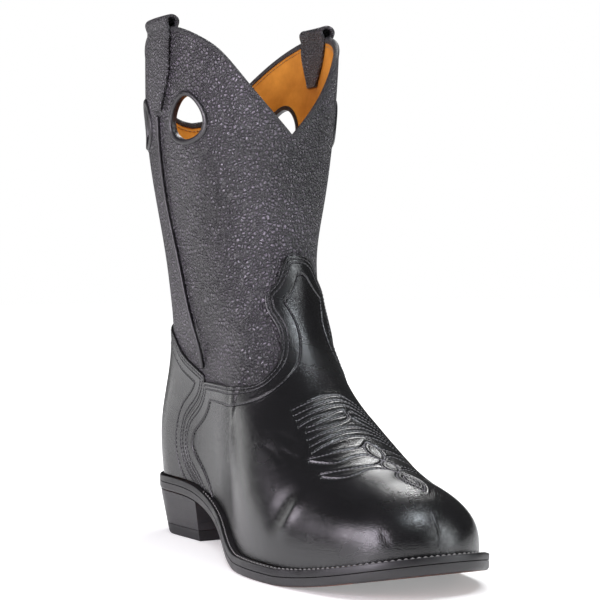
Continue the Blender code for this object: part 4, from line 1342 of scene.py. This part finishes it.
collar_edge = layered("collar_edge", [(round_collar(COLLAR_FOLD), False, True)])
# The second colour is a faint painted sheen on the pebbles' tops.
collar_edge.data.materials.append(
    pebbled_leather(
        "collar folded leather", (0.010, 0.0095, 0.011), (0.026, 0.024, 0.029), 0.4, 0.0004, 640.0
    )
)
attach(collar_edge, "root")
lining_row = np.column_stack([round_collar([LINING_ROW])[0], -form_normal[-1]])
lining_row = np.vstack([lining_row, lining_row[:1]])
lining_thread = thread_material("lining thread", (0.36, 0.19, 0.06))
add_stitches("lining_stitches", [lining_row], LINING_STITCH, lining_thread)


# Vamp: smooth black leather lasted over the foot, its tongue rising up the shin between two
# curved wings. Two rows of lock stitch hold its edge and a third runs along its raised band.
VAMP_EDGE = np.array([  # share of THROAT_HEIGHT, degrees from the front: outer and inner side
    (1.165, 0.0, 0.0),
    (1.157, -3.8, 15.8),
    (1.125, -7.9, 24.4),
    (1.063, -13.7, 33.3),
    (0.990, -23.8, 45.6),
    (0.936, -22.7, 42.0),
    (0.880, -19.5, 38.0),
    (0.828, -20.2, 38.5),
    (0.770, -24.2, 42.5),
    (0.722, -31.9, 50.0),
    (0.683, -40.9, 58.0),
    (0.667, -50.8, 66.0),
    (0.663, -60.7, 76.0),
])
COUNTER_SEAM = np.array([  # share of SOLE_LENGTH, share of THROAT_HEIGHT, from its top down
    (0.288, 0.664),
    (0.270, 0.615),
    (0.231, 0.551),
    (0.195, 0.497),
    (0.179, 0.428),
    (0.178, 0.386),
    (0.190, 0.329),
    (0.215, 0.280),
    (0.262, 0.190),
    (0.300, 0.000),
])
COUNTER_EDGE = np.array([  # share of SOLE_LENGTH, share of THROAT_HEIGHT
    (0.288, 0.690),
    (0.242, 0.729),
    (0.199, 0.772),
    (0.163, 0.830),
    (0.115, 0.872),
    (0.040, 0.900),
    (-0.100, 0.910),
])
FAR = 0.4  # past the boot on every side


def seam_line(shift):
    """Seam between vamp and counter in (y, z), moved along Y by shift."""
    line = spline(COUNTER_SEAM * (SOLE_LENGTH, THROAT_HEIGHT), 90)
    return np.stack([HEEL_SEAT_CENTRE - line[:, 0] + shift, line[:, 1]], 1)


def vamp_edge(side):
    """Top edge of the vamp in (y, z) on one side, from the tongue's tip to the seam."""
    line = spline(np.stack([VAMP_EDGE[:, 1 if side < 0 else 2], VAMP_EDGE[:, 0] * 100], 1), 260)
    z = line[:, 1] / 100 * THROAT_HEIGHT
    share = (1 - np.cos(np.radians(line[:, 0]))) / 2
    return np.stack([front_y(z) + (back_y(z) - front_y(z)) * share, z], 1)


def vamp_border(side):
    """The vamp's whole border in (y, z) on one side: top edge, then the seam down to the welt."""
    edge = vamp_edge(side)
    seam = seam_line(-GAP / 2)
    bridge = edge[-1] + (seam[0] - edge[-1]) * np.linspace(0, 1, 40)[1:-1, None]
    return np.vstack([edge, bridge, seam])


def is_vamp(base):
    """True where a point of the form lies in front of the vamp's border on its own side."""
    kept = np.ones(len(base), bool)
    outer = base[:, 0] < centre_line(base[:, 1], base[:, 2])
    for side in (-1, 1):
        border = vamp_border(side)
        around = [(border[-1, 0], -FAR), (FAR, -FAR), (FAR, FAR), (-FAR, FAR)]
        cut = np.vstack([[(-FAR, border[0, 1])], border, around])
        kept &= ~((outer == (side < 0)) & inside_outline(cut, base[:, 1], base[:, 2]))
    return kept


outer_border, inner_border = [on_form(*vamp_border(side).T, side) for side in (-1, 1)]
vamp_curve = np.vstack([outer_border[::-1], inner_border[1:]])
EDGE_ROWS = (0.0019, 0.0042)
VAMP_BAND = 0.011
VAMP_FACE = GAP + OVERLAY
OVERLAY_ROLL = 0.0007
BAND_LIFT = 0.0006
BAND_SLOPE = 0.0008
GROOVE_DEPTH = 0.00045
GROOVE_WIDTH = 0.0007
PUFF_HEIGHT = 0.00022
PUFF_FROM_ROW = 0.0017
PUFF_WIDTH = 0.0009
TOE_REACH = 0.0030
TOE_AXIS = 0.0045
TOE_FROM = 0.59  # share of SOLE_LENGTH: the pattern lies ahead of it
TOE_ARCS = [  # mm from the pattern's axis, mm from the heel: outer half of rows across the foot
    [(27.5, 183.1), (19.9, 184.6), (10.2, 184.9), (0, 184.0)],
    [(27.9, 186.4), (19.0, 187.9), (8.7, 187.7), (0, 186.9)],
    [(27.9, 189.9), (18.8, 191.0), (7.8, 190.6), (0, 189.8)],
    [(28.6, 203.2), (19.5, 204.4), (11.8, 204.6), (0, 203.8)],
    [(29.3, 207.2), (21.5, 207.9), (13.7, 207.8), (0, 206.9)],
    [(30.2, 211.2), (23.4, 211.5), (15.8, 211.4), (0, 210.4)],
]
TOE_LEAVES = [  # the same, for lines that each side has by itself
    [
        (28.8, 193.5), (19.3, 194.3), (8.6, 194.3), (1.2, 194.0), (1.0, 197.4), (4.4, 199.8),
        (10.3, 201.5), (19.6, 200.9), (27.0, 199.0),
    ],
    [(25.5, 196.6), (19.6, 197.7), (14.4, 197.6), (8.0, 197.3), (3.2, 196.6)],
    [(33.7, 212.6), (27.5, 216.1), (19.9, 218.4), (11.4, 219.7), (5.6, 219.2), (0.4, 215.0)],
    [
        (33.9, 214.4), (29.1, 221.0), (22.7, 225.6), (15.0, 226.0), (8.0, 226.2), (3.6, 228.6),
        (0.4, 232.5),
    ],
    [(34.0, 225.7), (27.8, 230.2), (16.3, 235.6), (9.8, 236.6), (4.8, 235.6), (0.4, 232.0)],
    [
        (34.2, 228.2), (30.4, 234.4), (25.0, 239.0), (19.0, 240.4), (12.4, 240.2), (6.6, 241.6),
        (0.4, 246.6),
    ],
    [(0.0, 215.0), (3.6, 219.0), (4.4, 223.5), (3.0, 228.5), (0.0, 232.5)],
    [(0.0, 232.5), (3.6, 236.5), (4.2, 240.5), (2.6, 244.2), (0.0, 247.0)],
    [(0.0, 247.0), (4.2, 252.5), (5.2, 259.5), (3.4, 266.5), (0.0, 272.0)],
    [(0.0, 252.0), (2.2, 256.5), (2.2, 261.5), (0.0, 266.5)],
]


def on_top(x, y):
    """Places on the form over plan points, with unit normals: the height is found by halving the
    span between welt and ridge until half_width() equals the distance from the centre line, and
    the normal is (-dz/dx, -dz/dy, 1)."""
    def height(x, y):
        """Height of the form over plan points."""
        low = welt_top(y)
        high = ridge_height(y) + 0 * x
        for _ in range(40):
            middle = (low + high) / 2
            reach = x - centre_line(y, middle)
            half = np.where(reach < 0, half_width(y, middle, -1), half_width(y, middle, 1))
            wider = half > np.abs(reach)
            low = np.where(wider, middle, low)
            high = np.where(wider, high, middle)
        return (low + high) / 2
    step = 0.0008
    z = height(x, y)
    slope_x = (height(x + step, y) - height(x - step, y)) / (2 * step)
    slope_y = (height(x, y + step) - height(x, y - step)) / (2 * step)
    normal = np.stack([-slope_x, -slope_y, np.ones_like(z)], -1)
    return np.stack([x, y, z], -1), normal / np.linalg.norm(normal, axis=-1)[..., None]


def toe_row(points):
    """Stitch line of the toe pattern: spline through plan points, laid on the form."""
    line = spline(np.array(points) * MM, 90)
    y = HEEL_SEAT_CENTRE - line[:, 1]
    place, normal = on_top(toe_swing(y) + TOE_AXIS + line[:, 0], y)
    return np.column_stack([place, normal])


toe_rows = [toe_row([(-u, v) for u, v in row] + row[-2::-1]) for row in TOE_ARCS]
toe_rows += [toe_row([(side * u, v) for u, v in row]) for row in TOE_LEAVES for side in (-1, 1)]


def near_rows(points, reach):
    """Distance from each point to the toe stitching, or reach where it is further."""
    found = np.full(len(points), reach)
    close = np.nonzero(points[:, 1] < at_length(TOE_FROM))[0]
    for row in toe_rows:
        low = row[:, :3].min(0) - reach
        high = row[:, :3].max(0) + reach
        here = close[((points[close] > low) & (points[close] < high)).all(1)]
        if len(here):
            found[here] = np.minimum(found[here], nearest_on(row[:, :3], points[here])[1])
    return found


VAMP_FOLDS = [  # outer side: places as mm from the heel and mm up, half width and depth in mm
    ([(217, 23), (223, 31), (226, 41), (227, 49)], 3.5, -0.9),
    ([(206, 25), (212, 34), (216, 43), (218, 52)], 5.0, 0.8),
    ([(182, 78), (196, 73), (209, 68)], 1.8, 0.40),
    ([(190, 70), (203, 65), (214, 62)], 1.8, 0.40),
    ([(180, 71), (193, 66), (204, 60)], 2.0, 0.35),
    ([(280, 35), (283, 31), (286, 26)], 1.5, 0.25),
]


def vamp_height(distance, run, base):
    """Lift of the vamp's face: its thickness, BAND_LIFT more in the doubled band along the edge,
    less a Gaussian groove where the toe stitches pull it down, more a puff at both sides of the
    groove, less the folds."""
    band = BAND_LIFT * (1 - rise(VAMP_BAND - BAND_SLOPE, VAMP_BAND + BAND_SLOPE, distance))
    apart = near_rows(base, TOE_REACH)
    groove = GROOVE_DEPTH * np.exp(-(apart / GROOVE_WIDTH) ** 2)
    puff = PUFF_HEIGHT * np.exp(-((apart - PUFF_FROM_ROW) / PUFF_WIDTH) ** 2)
    return VAMP_FACE + band + puff - groove - folds(base, VAMP_FOLDS)


def edge_line_group():
    """Relief lines at fixed distances from a cut edge, from the piece's own edge attribute: a
    smooth groove where the distance is within a width of the line."""
    tree, given, out = new_group(
        "line along edge",
        [("Line", "Float", 0.011), ("Width", "Float", 0.0006)],
        [("Groove", "Float")],
    )
    edge = node(tree, "Attribute", {"attribute_name": "edge"})
    line, width = given.outputs["Line"], given.outputs["Width"]
    apart = node(tree, "Math", {"operation": "SUBTRACT"}, _0=edge.outputs["Fac"], _1=line)
    away = node(tree, "Math", {"operation": "ABSOLUTE"}, _0=apart.outputs[0])
    share = node(tree, "Math", {"operation": "DIVIDE"}, _0=away.outputs[0], _1=width)
    groove = node(
        tree, "MapRange", {"interpolation_type": "SMOOTHSTEP"},
        _0=share.outputs[0], _1=0.0, _2=1.0, _3=1.0, _4=0.0,
    )
    tree.links.new(groove.outputs[0], out.inputs["Groove"])
    return tree


line_along_edge = edge_line_group()


def smooth_leather(name, colour, roughness, coat, lines=()):
    """Polished black leather: a fine wrinkled grain and cloudy gloss, with impressed lines as
    (distance from the piece's edge, width)."""
    made, tree, shader = leather(
        name, colour, roughness, coat=coat, coat_roughness=0.25, specular=0.9
    )
    place = node(tree, "TexCoord").outputs["Object"]
    cloud = node(tree, "TexNoise", Vector=place, Scale=30.0, Detail=5.0)
    gloss = node(
        tree, "MapRange", _0=cloud.outputs["Fac"], _1=0.3, _2=0.7,
        _3=roughness - 0.05, _4=roughness + 0.09,
    )
    cells = node(tree, "TexVoronoi", {"feature": "DISTANCE_TO_EDGE"}, Vector=place, Scale=850.0)
    dome = node(
        tree, "MapRange", {"interpolation_type": "SMOOTHSTEP"},
        _0=cells.outputs["Distance"], _1=0.0, _2=0.3,
    )
    grain = node(tree, "TexNoise", Vector=place, Scale=420.0, Detail=4.0, Roughness=0.6)
    height = node(
        tree, "Math", {"operation": "MULTIPLY_ADD"},
        _0=dome.outputs[0], _1=0.55, _2=grain.outputs["Fac"],
    )
    bump = node(tree, "Bump", Height=height.outputs[0], Strength=0.24, Distance=0.0004)
    normal = bump.outputs["Normal"]
    for line, width in lines:
        groove = node(tree, "Group", {"node_tree": line_along_edge}, Line=line, Width=width)
        pressed = node(
            tree, "Bump", {"invert": True},
            Height=groove.outputs[0], Normal=normal, Strength=1.0, Distance=0.0006,
        )
        normal = pressed.outputs["Normal"]
    tree.links.new(gloss.outputs[0], shader.inputs["Roughness"])
    tree.links.new(normal, shader.inputs["Normal"])
    return made


OVERLAYS_TO = 1.2  # share of THROAT_HEIGHT: the vamp and the counter end below it
POLISHED_BLACK = (0.0060, 0.0060, 0.0065)
ROW_WIDTH = 0.0007
VAMP_BAND_WIDTH = 0.0011
EDGE_STITCH = (0.0027, 0.0022, 0.00026)  # pitch, length, radius
TOE_STITCH = (0.0023, 0.0018, 0.00024)
TOE_STITCH_LIFT = VAMP_FACE - 0.0002
foot_rings = all_rings[form[:, :, 2].min(1) < OVERLAYS_TO * THROAT_HEIGHT]
vamp_sheet, vamp_face = laid_sheet(
    "vamp_sheet", [vamp_curve], is_vamp, vamp_height, OVERLAY_ROLL, VAMP_FACE, foot_rings,
    fine=[
        lambda base, within=within: near_rows(base, TOE_REACH) < within
        for within in (0.0026, 0.0014)
    ],
)
vamp_sheet.data.materials.append(smooth_leather(
    "vamp polished leather", POLISHED_BLACK, 0.22, 0.12,
    [(row, ROW_WIDTH) for row in EDGE_ROWS] + [(VAMP_BAND, VAMP_BAND_WIDTH)],
))
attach(vamp_sheet, "root")
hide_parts("vamp")
black_thread = thread_material("black thread", (0.055, 0.053, 0.060), 0.38)
add_stitches(
    "vamp_edge_stitches", [row_at(vamp_face, row) for row in (*EDGE_ROWS, VAMP_BAND)],
    EDGE_STITCH, black_thread,
)
sewn = [
    np.column_stack([row[:, :3] + row[:, 3:] * TOE_STITCH_LIFT, row[:, 3:]]) for row in toe_rows
]
toe_thread = thread_material("toe thread", (0.19, 0.185, 0.20), 0.38)
add_stitches("toe_stitches", sewn, TOE_STITCH, toe_thread)


# Counter: the same smooth leather round the heel, behind the side seams, its top edge curving up
# to the back of the ankle. It is sewn down as the vamp is, with a third row further in.
COUNTER_BAND = 0.0098
COUNTER_BAND_WIDTH = 0.0010


def counter_border():
    """The counter's border in (y, z): seam up from the welt, then the top edge to the back."""
    edge = spline(COUNTER_EDGE * (SOLE_LENGTH, THROAT_HEIGHT), 120)
    edge = np.stack([HEEL_SEAT_CENTRE - edge[:, 0], edge[:, 1]], 1)
    return np.vstack([seam_line(GAP / 2)[::-1], edge])


def is_counter(base):
    """True where a point of the form lies behind the counter's border."""
    border = counter_border()
    region = np.vstack([border, [(FAR, border[-1, 1]), (FAR, -FAR), (border[0, 0], -FAR)]])
    return inside_outline(region, base[:, 1], base[:, 2])


def counter_line(side):
    """The counter's border on the form on one side, ending on the back line."""
    border = counter_border()
    border = border[border[:, 0] < back_y(border[:, 1]) - 1e-5]
    end = border[-1, 1]
    border = np.vstack([border, [back_y(end) - 1e-6, end]])
    return on_form(border[:, 0], border[:, 1], side)


counter_curve = np.vstack([counter_line(-1), counter_line(1)[::-1][1:]])
counter_sheet, counter_face = laid_sheet(
    "counter_sheet", [counter_curve], is_counter, even_lift(VAMP_FACE), OVERLAY_ROLL, VAMP_FACE,
    foot_rings,
)
counter_sheet.data.materials.append(smooth_leather(
    "counter polished leather", POLISHED_BLACK, 0.22, 0.12,
    [(row, ROW_WIDTH) for row in EDGE_ROWS] + [(COUNTER_BAND, COUNTER_BAND_WIDTH)],
))
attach(counter_sheet, "root")
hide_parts("counter")
add_stitches(
    "counter_edge_stitches", [row_at(counter_face, row) for row in (*EDGE_ROWS, COUNTER_BAND)],
    EDGE_STITCH, black_thread,
)


# Side seams: a rolled piping of black leather, sewn in between the shaft's front and back where
# they are joined, with a row of stitches on either side.
SEAM_RADIUS = 0.0012
SEAM_STANDS = 0.9  # height of the piping's middle over the form, as a share of its radius
SEAM_END = 0.0025
SEAM_SEWN_FROM = 0.108
SEAM_ROW = 0.0034
SEAM_STITCH = (0.0027, 0.0022, 0.00024)  # pitch, length, radius
THREAD_LIFT = 0.0001
STRAP_LENGTH = 0.050


def piping(side, sides_round=12):
    """Grid of a tube along the seam: circles of SEAM_RADIUS in the plane across the path, closed
    to a point at both ends by a quarter circle."""
    low = COUNTER_EDGE[0, 1] * THROAT_HEIGHT + SEAM_END + SEAM_RADIUS
    high = BOOT_HEIGHT - STRAP_LENGTH - SEAM_END
    z = np.linspace(low, high, 160)
    line = spline(SHAFT_SEAM * (SOLE_LENGTH, BOOT_HEIGHT), 200)
    y = HEEL_SEAT_CENTRE - np.interp(z, line[:, 1], line[:, 0])
    centre, out = on_side(y, z, side, SEAM_RADIUS * SEAM_STANDS)
    tangent = np.gradient(centre, axis=0)
    tangent /= np.linalg.norm(tangent, axis=1)[:, None]
    aside = np.cross(out, tangent)
    end = np.clip(np.minimum(z - low, high - z) / SEAM_RADIUS, 0, 1)
    radius = SEAM_RADIUS * np.sqrt(1 - (1 - end) ** 2)
    turn = 2 * math.pi * np.arange(sides_round) / sides_round
    ring = out[:, None] * np.cos(turn)[None, :, None] + aside[:, None] * np.sin(turn)[None, :, None]
    return centre[:, None] + ring * radius[:, None, None]


piping_leather = smooth_leather("seam piping leather", (0.010, 0.0095, 0.011), 0.36, 0.1)
for side, where in SIDES:
    tube = layered("seam_piping_" + where, [(piping(side), False, True)])
    tube.data.materials.append(piping_leather)
    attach(tube, "root")
    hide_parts("side_seam_" + where)
    z = np.linspace(SEAM_SEWN_FROM, BOOT_HEIGHT - STRAP_LENGTH - 0.002, 200)
    rows = [
        np.column_stack(on_side(seam_at(z) + apart, z, side, THREAD_LIFT))
        for apart in (-SEAM_ROW, SEAM_ROW)
    ]
    add_stitches("seam_stitches_" + where, rows, SEAM_STITCH, black_thread)


# Pull straps: a doubled strip of the shaft's leather, looped over the collar at each side and
# stitched down outside and inside, tapering to a point below.
STRAP_WIDTH = 0.029
STRAP_TIP_WIDTH = 0.006
STRAP_THICK = 0.0020
STRAP_TAPER_LENGTH = 0.026
STRAP_RISE = 0.0062
STRAP_LOOP_WIDTH = 0.0100
STRAP_INNER_SHORTER = 0.019
STRAP_LEG_ROWS = 60
STRAP_EDGE_BULGE = 0.7
STRAP_ROW = 0.82
STRAP_SEWN = (slice(3, 58), slice(-52, -3))  # rows of the outer leg, rows of the inner leg


def strap_sheet(side, across):
    """Middle face of a strap: rows up the outer leg, over the loop and down the inner leg, with
    columns at shares of its half width. Each row lies at its depth from the form; the loop is a
    half ellipse that flares from the legs. Returns points and outward normals."""
    narrow = (WALL + STRAP_THICK) / 2 + GAP
    wide = (STRAP_LOOP_WIDTH - STRAP_THICK) / 2
    foot = BOOT_HEIGHT - STRAP_LENGTH
    base = BOOT_HEIGHT - STRAP_THICK
    spring = BOOT_HEIGHT + STRAP_RISE / 2
    leg = np.linspace(foot, base, STRAP_LEG_ROWS)
    inner = np.linspace(foot + STRAP_INNER_SHORTER, base, STRAP_LEG_ROWS)
    flare = np.linspace(base, spring, 12)[1:-1]
    turn = np.linspace(0, math.pi, 33)
    flared = narrow + (wide - narrow) * rise(base, spring, flare)
    apart = np.r_[np.full(STRAP_LEG_ROWS, narrow), flared]
    rising = np.r_[leg, flare]
    depth = np.r_[apart, wide * np.cos(turn), -apart[::-1]] - WALL / 2
    z = np.r_[rising, spring + STRAP_RISE / 2 * np.sin(turn), flare[::-1], inner[::-1]]
    tip = np.where(np.arange(len(z)) < len(z) / 2, foot, foot + STRAP_INNER_SHORTER)
    widen = rise(-STRAP_TAPER_LENGTH / 3, STRAP_TAPER_LENGTH, z - tip)
    half = (STRAP_TIP_WIDTH + (STRAP_WIDTH - STRAP_TIP_WIDTH) * widen) / 2
    y = seam_at(np.minimum(z, BOOT_HEIGHT))[:, None] + half[:, None] * across
    level = np.broadcast_to(np.minimum(z, base)[:, None], y.shape)
    grid, _ = on_side(y, level, side, np.broadcast_to(depth[:, None], y.shape))
    grid[:, :, 2] += z[:, None] - level
    normal = np.cross(np.gradient(grid, axis=0), np.gradient(grid, axis=1)) * -side
    return grid, normal / np.linalg.norm(normal, axis=2)[:, :, None]


def strap_body(side):
    """Strap as a closed skin: faces at half the thickness either way, with half-round edges."""
    across = np.linspace(-1, 1, 25)
    grid, normal = strap_sheet(side, across)
    half = STRAP_THICK / 2
    across_way = np.gradient(grid, axis=1)
    across_way /= np.linalg.norm(across_way, axis=2)[:, :, None]
    top = grid + normal * half
    under = (grid - normal * half)[:, ::-1]
    turn = np.linspace(math.pi / 2, -math.pi / 2, 6)[1:-1]
    rounds = [(half * math.sin(t), half * STRAP_EDGE_BULGE * math.cos(t)) for t in turn]
    right = [grid[:, -1] + normal[:, -1] * up + across_way[:, -1] * out for up, out in rounds]
    left = [grid[:, 0] - normal[:, 0] * up - across_way[:, 0] * out for up, out in rounds]
    return np.concatenate([top, np.stack(right, 1), under, np.stack(left, 1)], 1)


# The second colour is a grey painted sheen on the pebbles' tops; the first is the black ink of the joints.
strap_leather = pebbled_leather(
    "strap pebbled leather", (0.005, 0.0047, 0.0055), (0.150, 0.135, 0.160), 0.28, 0.0008, 520.0
)
for side, where in SIDES:
    skin = strap_body(side)
    first, last = [np.broadcast_to(end.mean(0), skin[:1].shape) for end in skin[[0, -1]]]
    skin = np.concatenate([first, skin, last])
    strap = layered("strap_" + where, [(skin, False, True)])
    strap.data.materials.append(strap_leather)
    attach(strap, "root")
    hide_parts("pull_strap_" + where)
    edges, facing = strap_sheet(side, np.array([-STRAP_ROW, STRAP_ROW]))
    rows = [
        np.column_stack([edges[part, k] + facing[part, k] * STRAP_THICK * 0.52, facing[part, k]])
        for part in STRAP_SEWN for k in (0, 1)
    ]
    add_stitches("strap_stitches_" + where, rows, EDGE_STITCH, black_thread)


# Hole bindings: a strip of thin black leather turned through each pull hole over the edges of
# shaft and lining, with a row of stitches round it outside.
HOLE_BINDING = [  # outwards from the hole's edge, out of the form: outer flange, web, inner flange
    (0.0026, 0.0001),
    (0.0027, 0.0005),
    (0.0023, 0.0010),
    (0.0014, 0.0014),
    (0.0006, 0.0013),
    (0.0000, 0.0009),
    (-0.0004, 0.0003),
    (-0.0005, -0.0004),
    (-0.0005, -0.0026),
    (-0.0003, -0.0033),
    (0.0003, -0.0037),
    (0.0012, -0.0038),
    (0.0022, -0.0036),
    (0.0025, -0.0031),
    (0.0025, -0.0027),
]
HOLE_ROW = 0.0036
HOLE_STITCH = (0.0025, 0.0020, 0.00022)  # pitch, length, radius
binding_leather = smooth_leather("hole binding leather", (0.009, 0.0085, 0.010), 0.34, 0.1)
for name, side, y in holes:
    rings = []
    for grow, offset in HOLE_BINDING:
        outline = egg(y, hole_z, grow, 96)
        rings.append(on_side(outline[:, 0], outline[:, 1], side, offset)[0])
    ring = layered("hole_edge_" + name, [(np.array(rings), False, True)])
    ring.data.materials.append(binding_leather)
    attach(ring, "root")
    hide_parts("hole_binding_" + name)
    outline = egg(y, hole_z, HOLE_ROW, 97)
    row = np.column_stack(on_side(outline[:, 0], outline[:, 1], side, THREAD_LIFT))
    add_stitches("hole_stitches_" + name, [row], HOLE_STITCH, black_thread)


# Floor, light and camera: a pale seamless floor under soft light from above and both sides, seen
# from where the photo was taken.
FLOOR_REACH = 6
AIR_LIGHT = 0.045
CAMERA_PLACE = (-0.4747, -0.991, 0.1693)
CAMERA_DOWN = 1.15
CAMERA_TURN = 28.47
CAMERA_LENS = 103.26
CAMERA_SENSOR = 36


def pale_floor():
    """Large pale sheet that glows a little more the further it lies from the boot, so that it
    runs into the white background without a horizon."""
    made, tree, shader = leather("floor paint", (0.80, 0.80, 0.80), 0.8)
    place = node(tree, "TexCoord").outputs["Object"]
    away = node(tree, "VectorMath", {"operation": "LENGTH"}, _0=place)
    near = node(tree, "MapRange", _0=away.outputs["Value"], _1=0.25, _2=1.1, _3=0.30, _4=1.0)
    seen = node(tree, "LightPath").outputs["Is Camera Ray"]
    glow = node(tree, "Math", {"operation": "MULTIPLY"}, _0=near.outputs[0], _1=seen)
    shader.inputs["Emission Color"].default_value = (1, 1, 1, 1)
    tree.links.new(glow.outputs[0], shader.inputs["Emission Strength"])
    return made


corners = [(FLOOR_REACH * x, FLOOR_REACH * y, 0) for x, y in ((-1, -1), (1, -1), (1, 1), (-1, 1))]
floor = add_mesh("floor", corners, [(0, 1, 2, 3)], sharp=0)
floor.data.materials.append(pale_floor())


def soft_light(name, place, target, size, power, colour=(1, 1, 1)):
    """Rectangular area light at a place, facing a target."""
    lamp = bpy.data.lights.new(name, "AREA")
    lamp.shape = "RECTANGLE"
    lamp.size, lamp.size_y = size
    lamp.energy = power
    lamp.color = colour
    holder = bpy.data.objects.new(name, lamp)
    holder.location = place
    way = Vector(target) - Vector(place)
    holder.rotation_euler = way.to_track_quat("-Z", "Y").to_euler()
    bpy.context.scene.collection.objects.link(holder)
    return holder


soft_light("left wall light", (-1.18, 0.02, 0.52), (0, -0.16, 0.06), (0.60, 0.42), 4.4, (1.0, 0.92, 1.03))
soft_light("toe light", (0.58, 0.46, 0.98), (0, -0.20, 0.06), (0.38, 0.34), 3.8)
soft_light("right strip light", (0.72, -1.00, 0.42), (0, -0.06, 0.15), (0.16, 0.8), 3.2, (0.93, 0.97, 1.0))
soft_light("left front light", (-1.10, -0.62, 0.50), (0, -0.06, 0.15), (0.45, 0.8), 9.5, (1.0, 0.93, 1.05))
soft_light("back light", (-0.50, 0.98, 0.25), (0, -0.05, 0.12), (0.35, 0.7), 1.6)
soft_light("tongue light", (0.30, -0.72, 1.10), (0, -0.09, 0.13), (0.25, 0.25), 3.6, (0.88, 0.94, 1.0))
wash = soft_light("floor wash", (0.0, -0.4, 2.2), (0, -0.1, 0.0), (2.5, 2.5), 62)
wash.visible_glossy = False
world = bpy.data.worlds.new("studio air")
world.use_nodes = True
air = world.node_tree
seen = node(air, "LightPath").outputs["Is Camera Ray"]
strength = node(air, "MapRange", _0=seen, _1=0.0, _2=1.0, _3=AIR_LIGHT, _4=1.0)
air.links.new(strength.outputs[0], air.nodes["Background"].inputs[1])
air.nodes["Background"].inputs[0].default_value = (1, 1, 1, 1)
bpy.context.scene.world = world
bpy.context.scene.view_settings.view_transform = "Standard"
view = bpy.data.cameras.new("photo view")
view.sensor_width = CAMERA_SENSOR
view.lens = CAMERA_LENS
camera = bpy.data.objects.new("photo view", view)
camera.location = CAMERA_PLACE
camera.rotation_euler = (math.radians(90 - CAMERA_DOWN), 0, math.radians(-CAMERA_TURN))
bpy.context.scene.collection.objects.link(camera)
bpy.context.scene.camera = camera
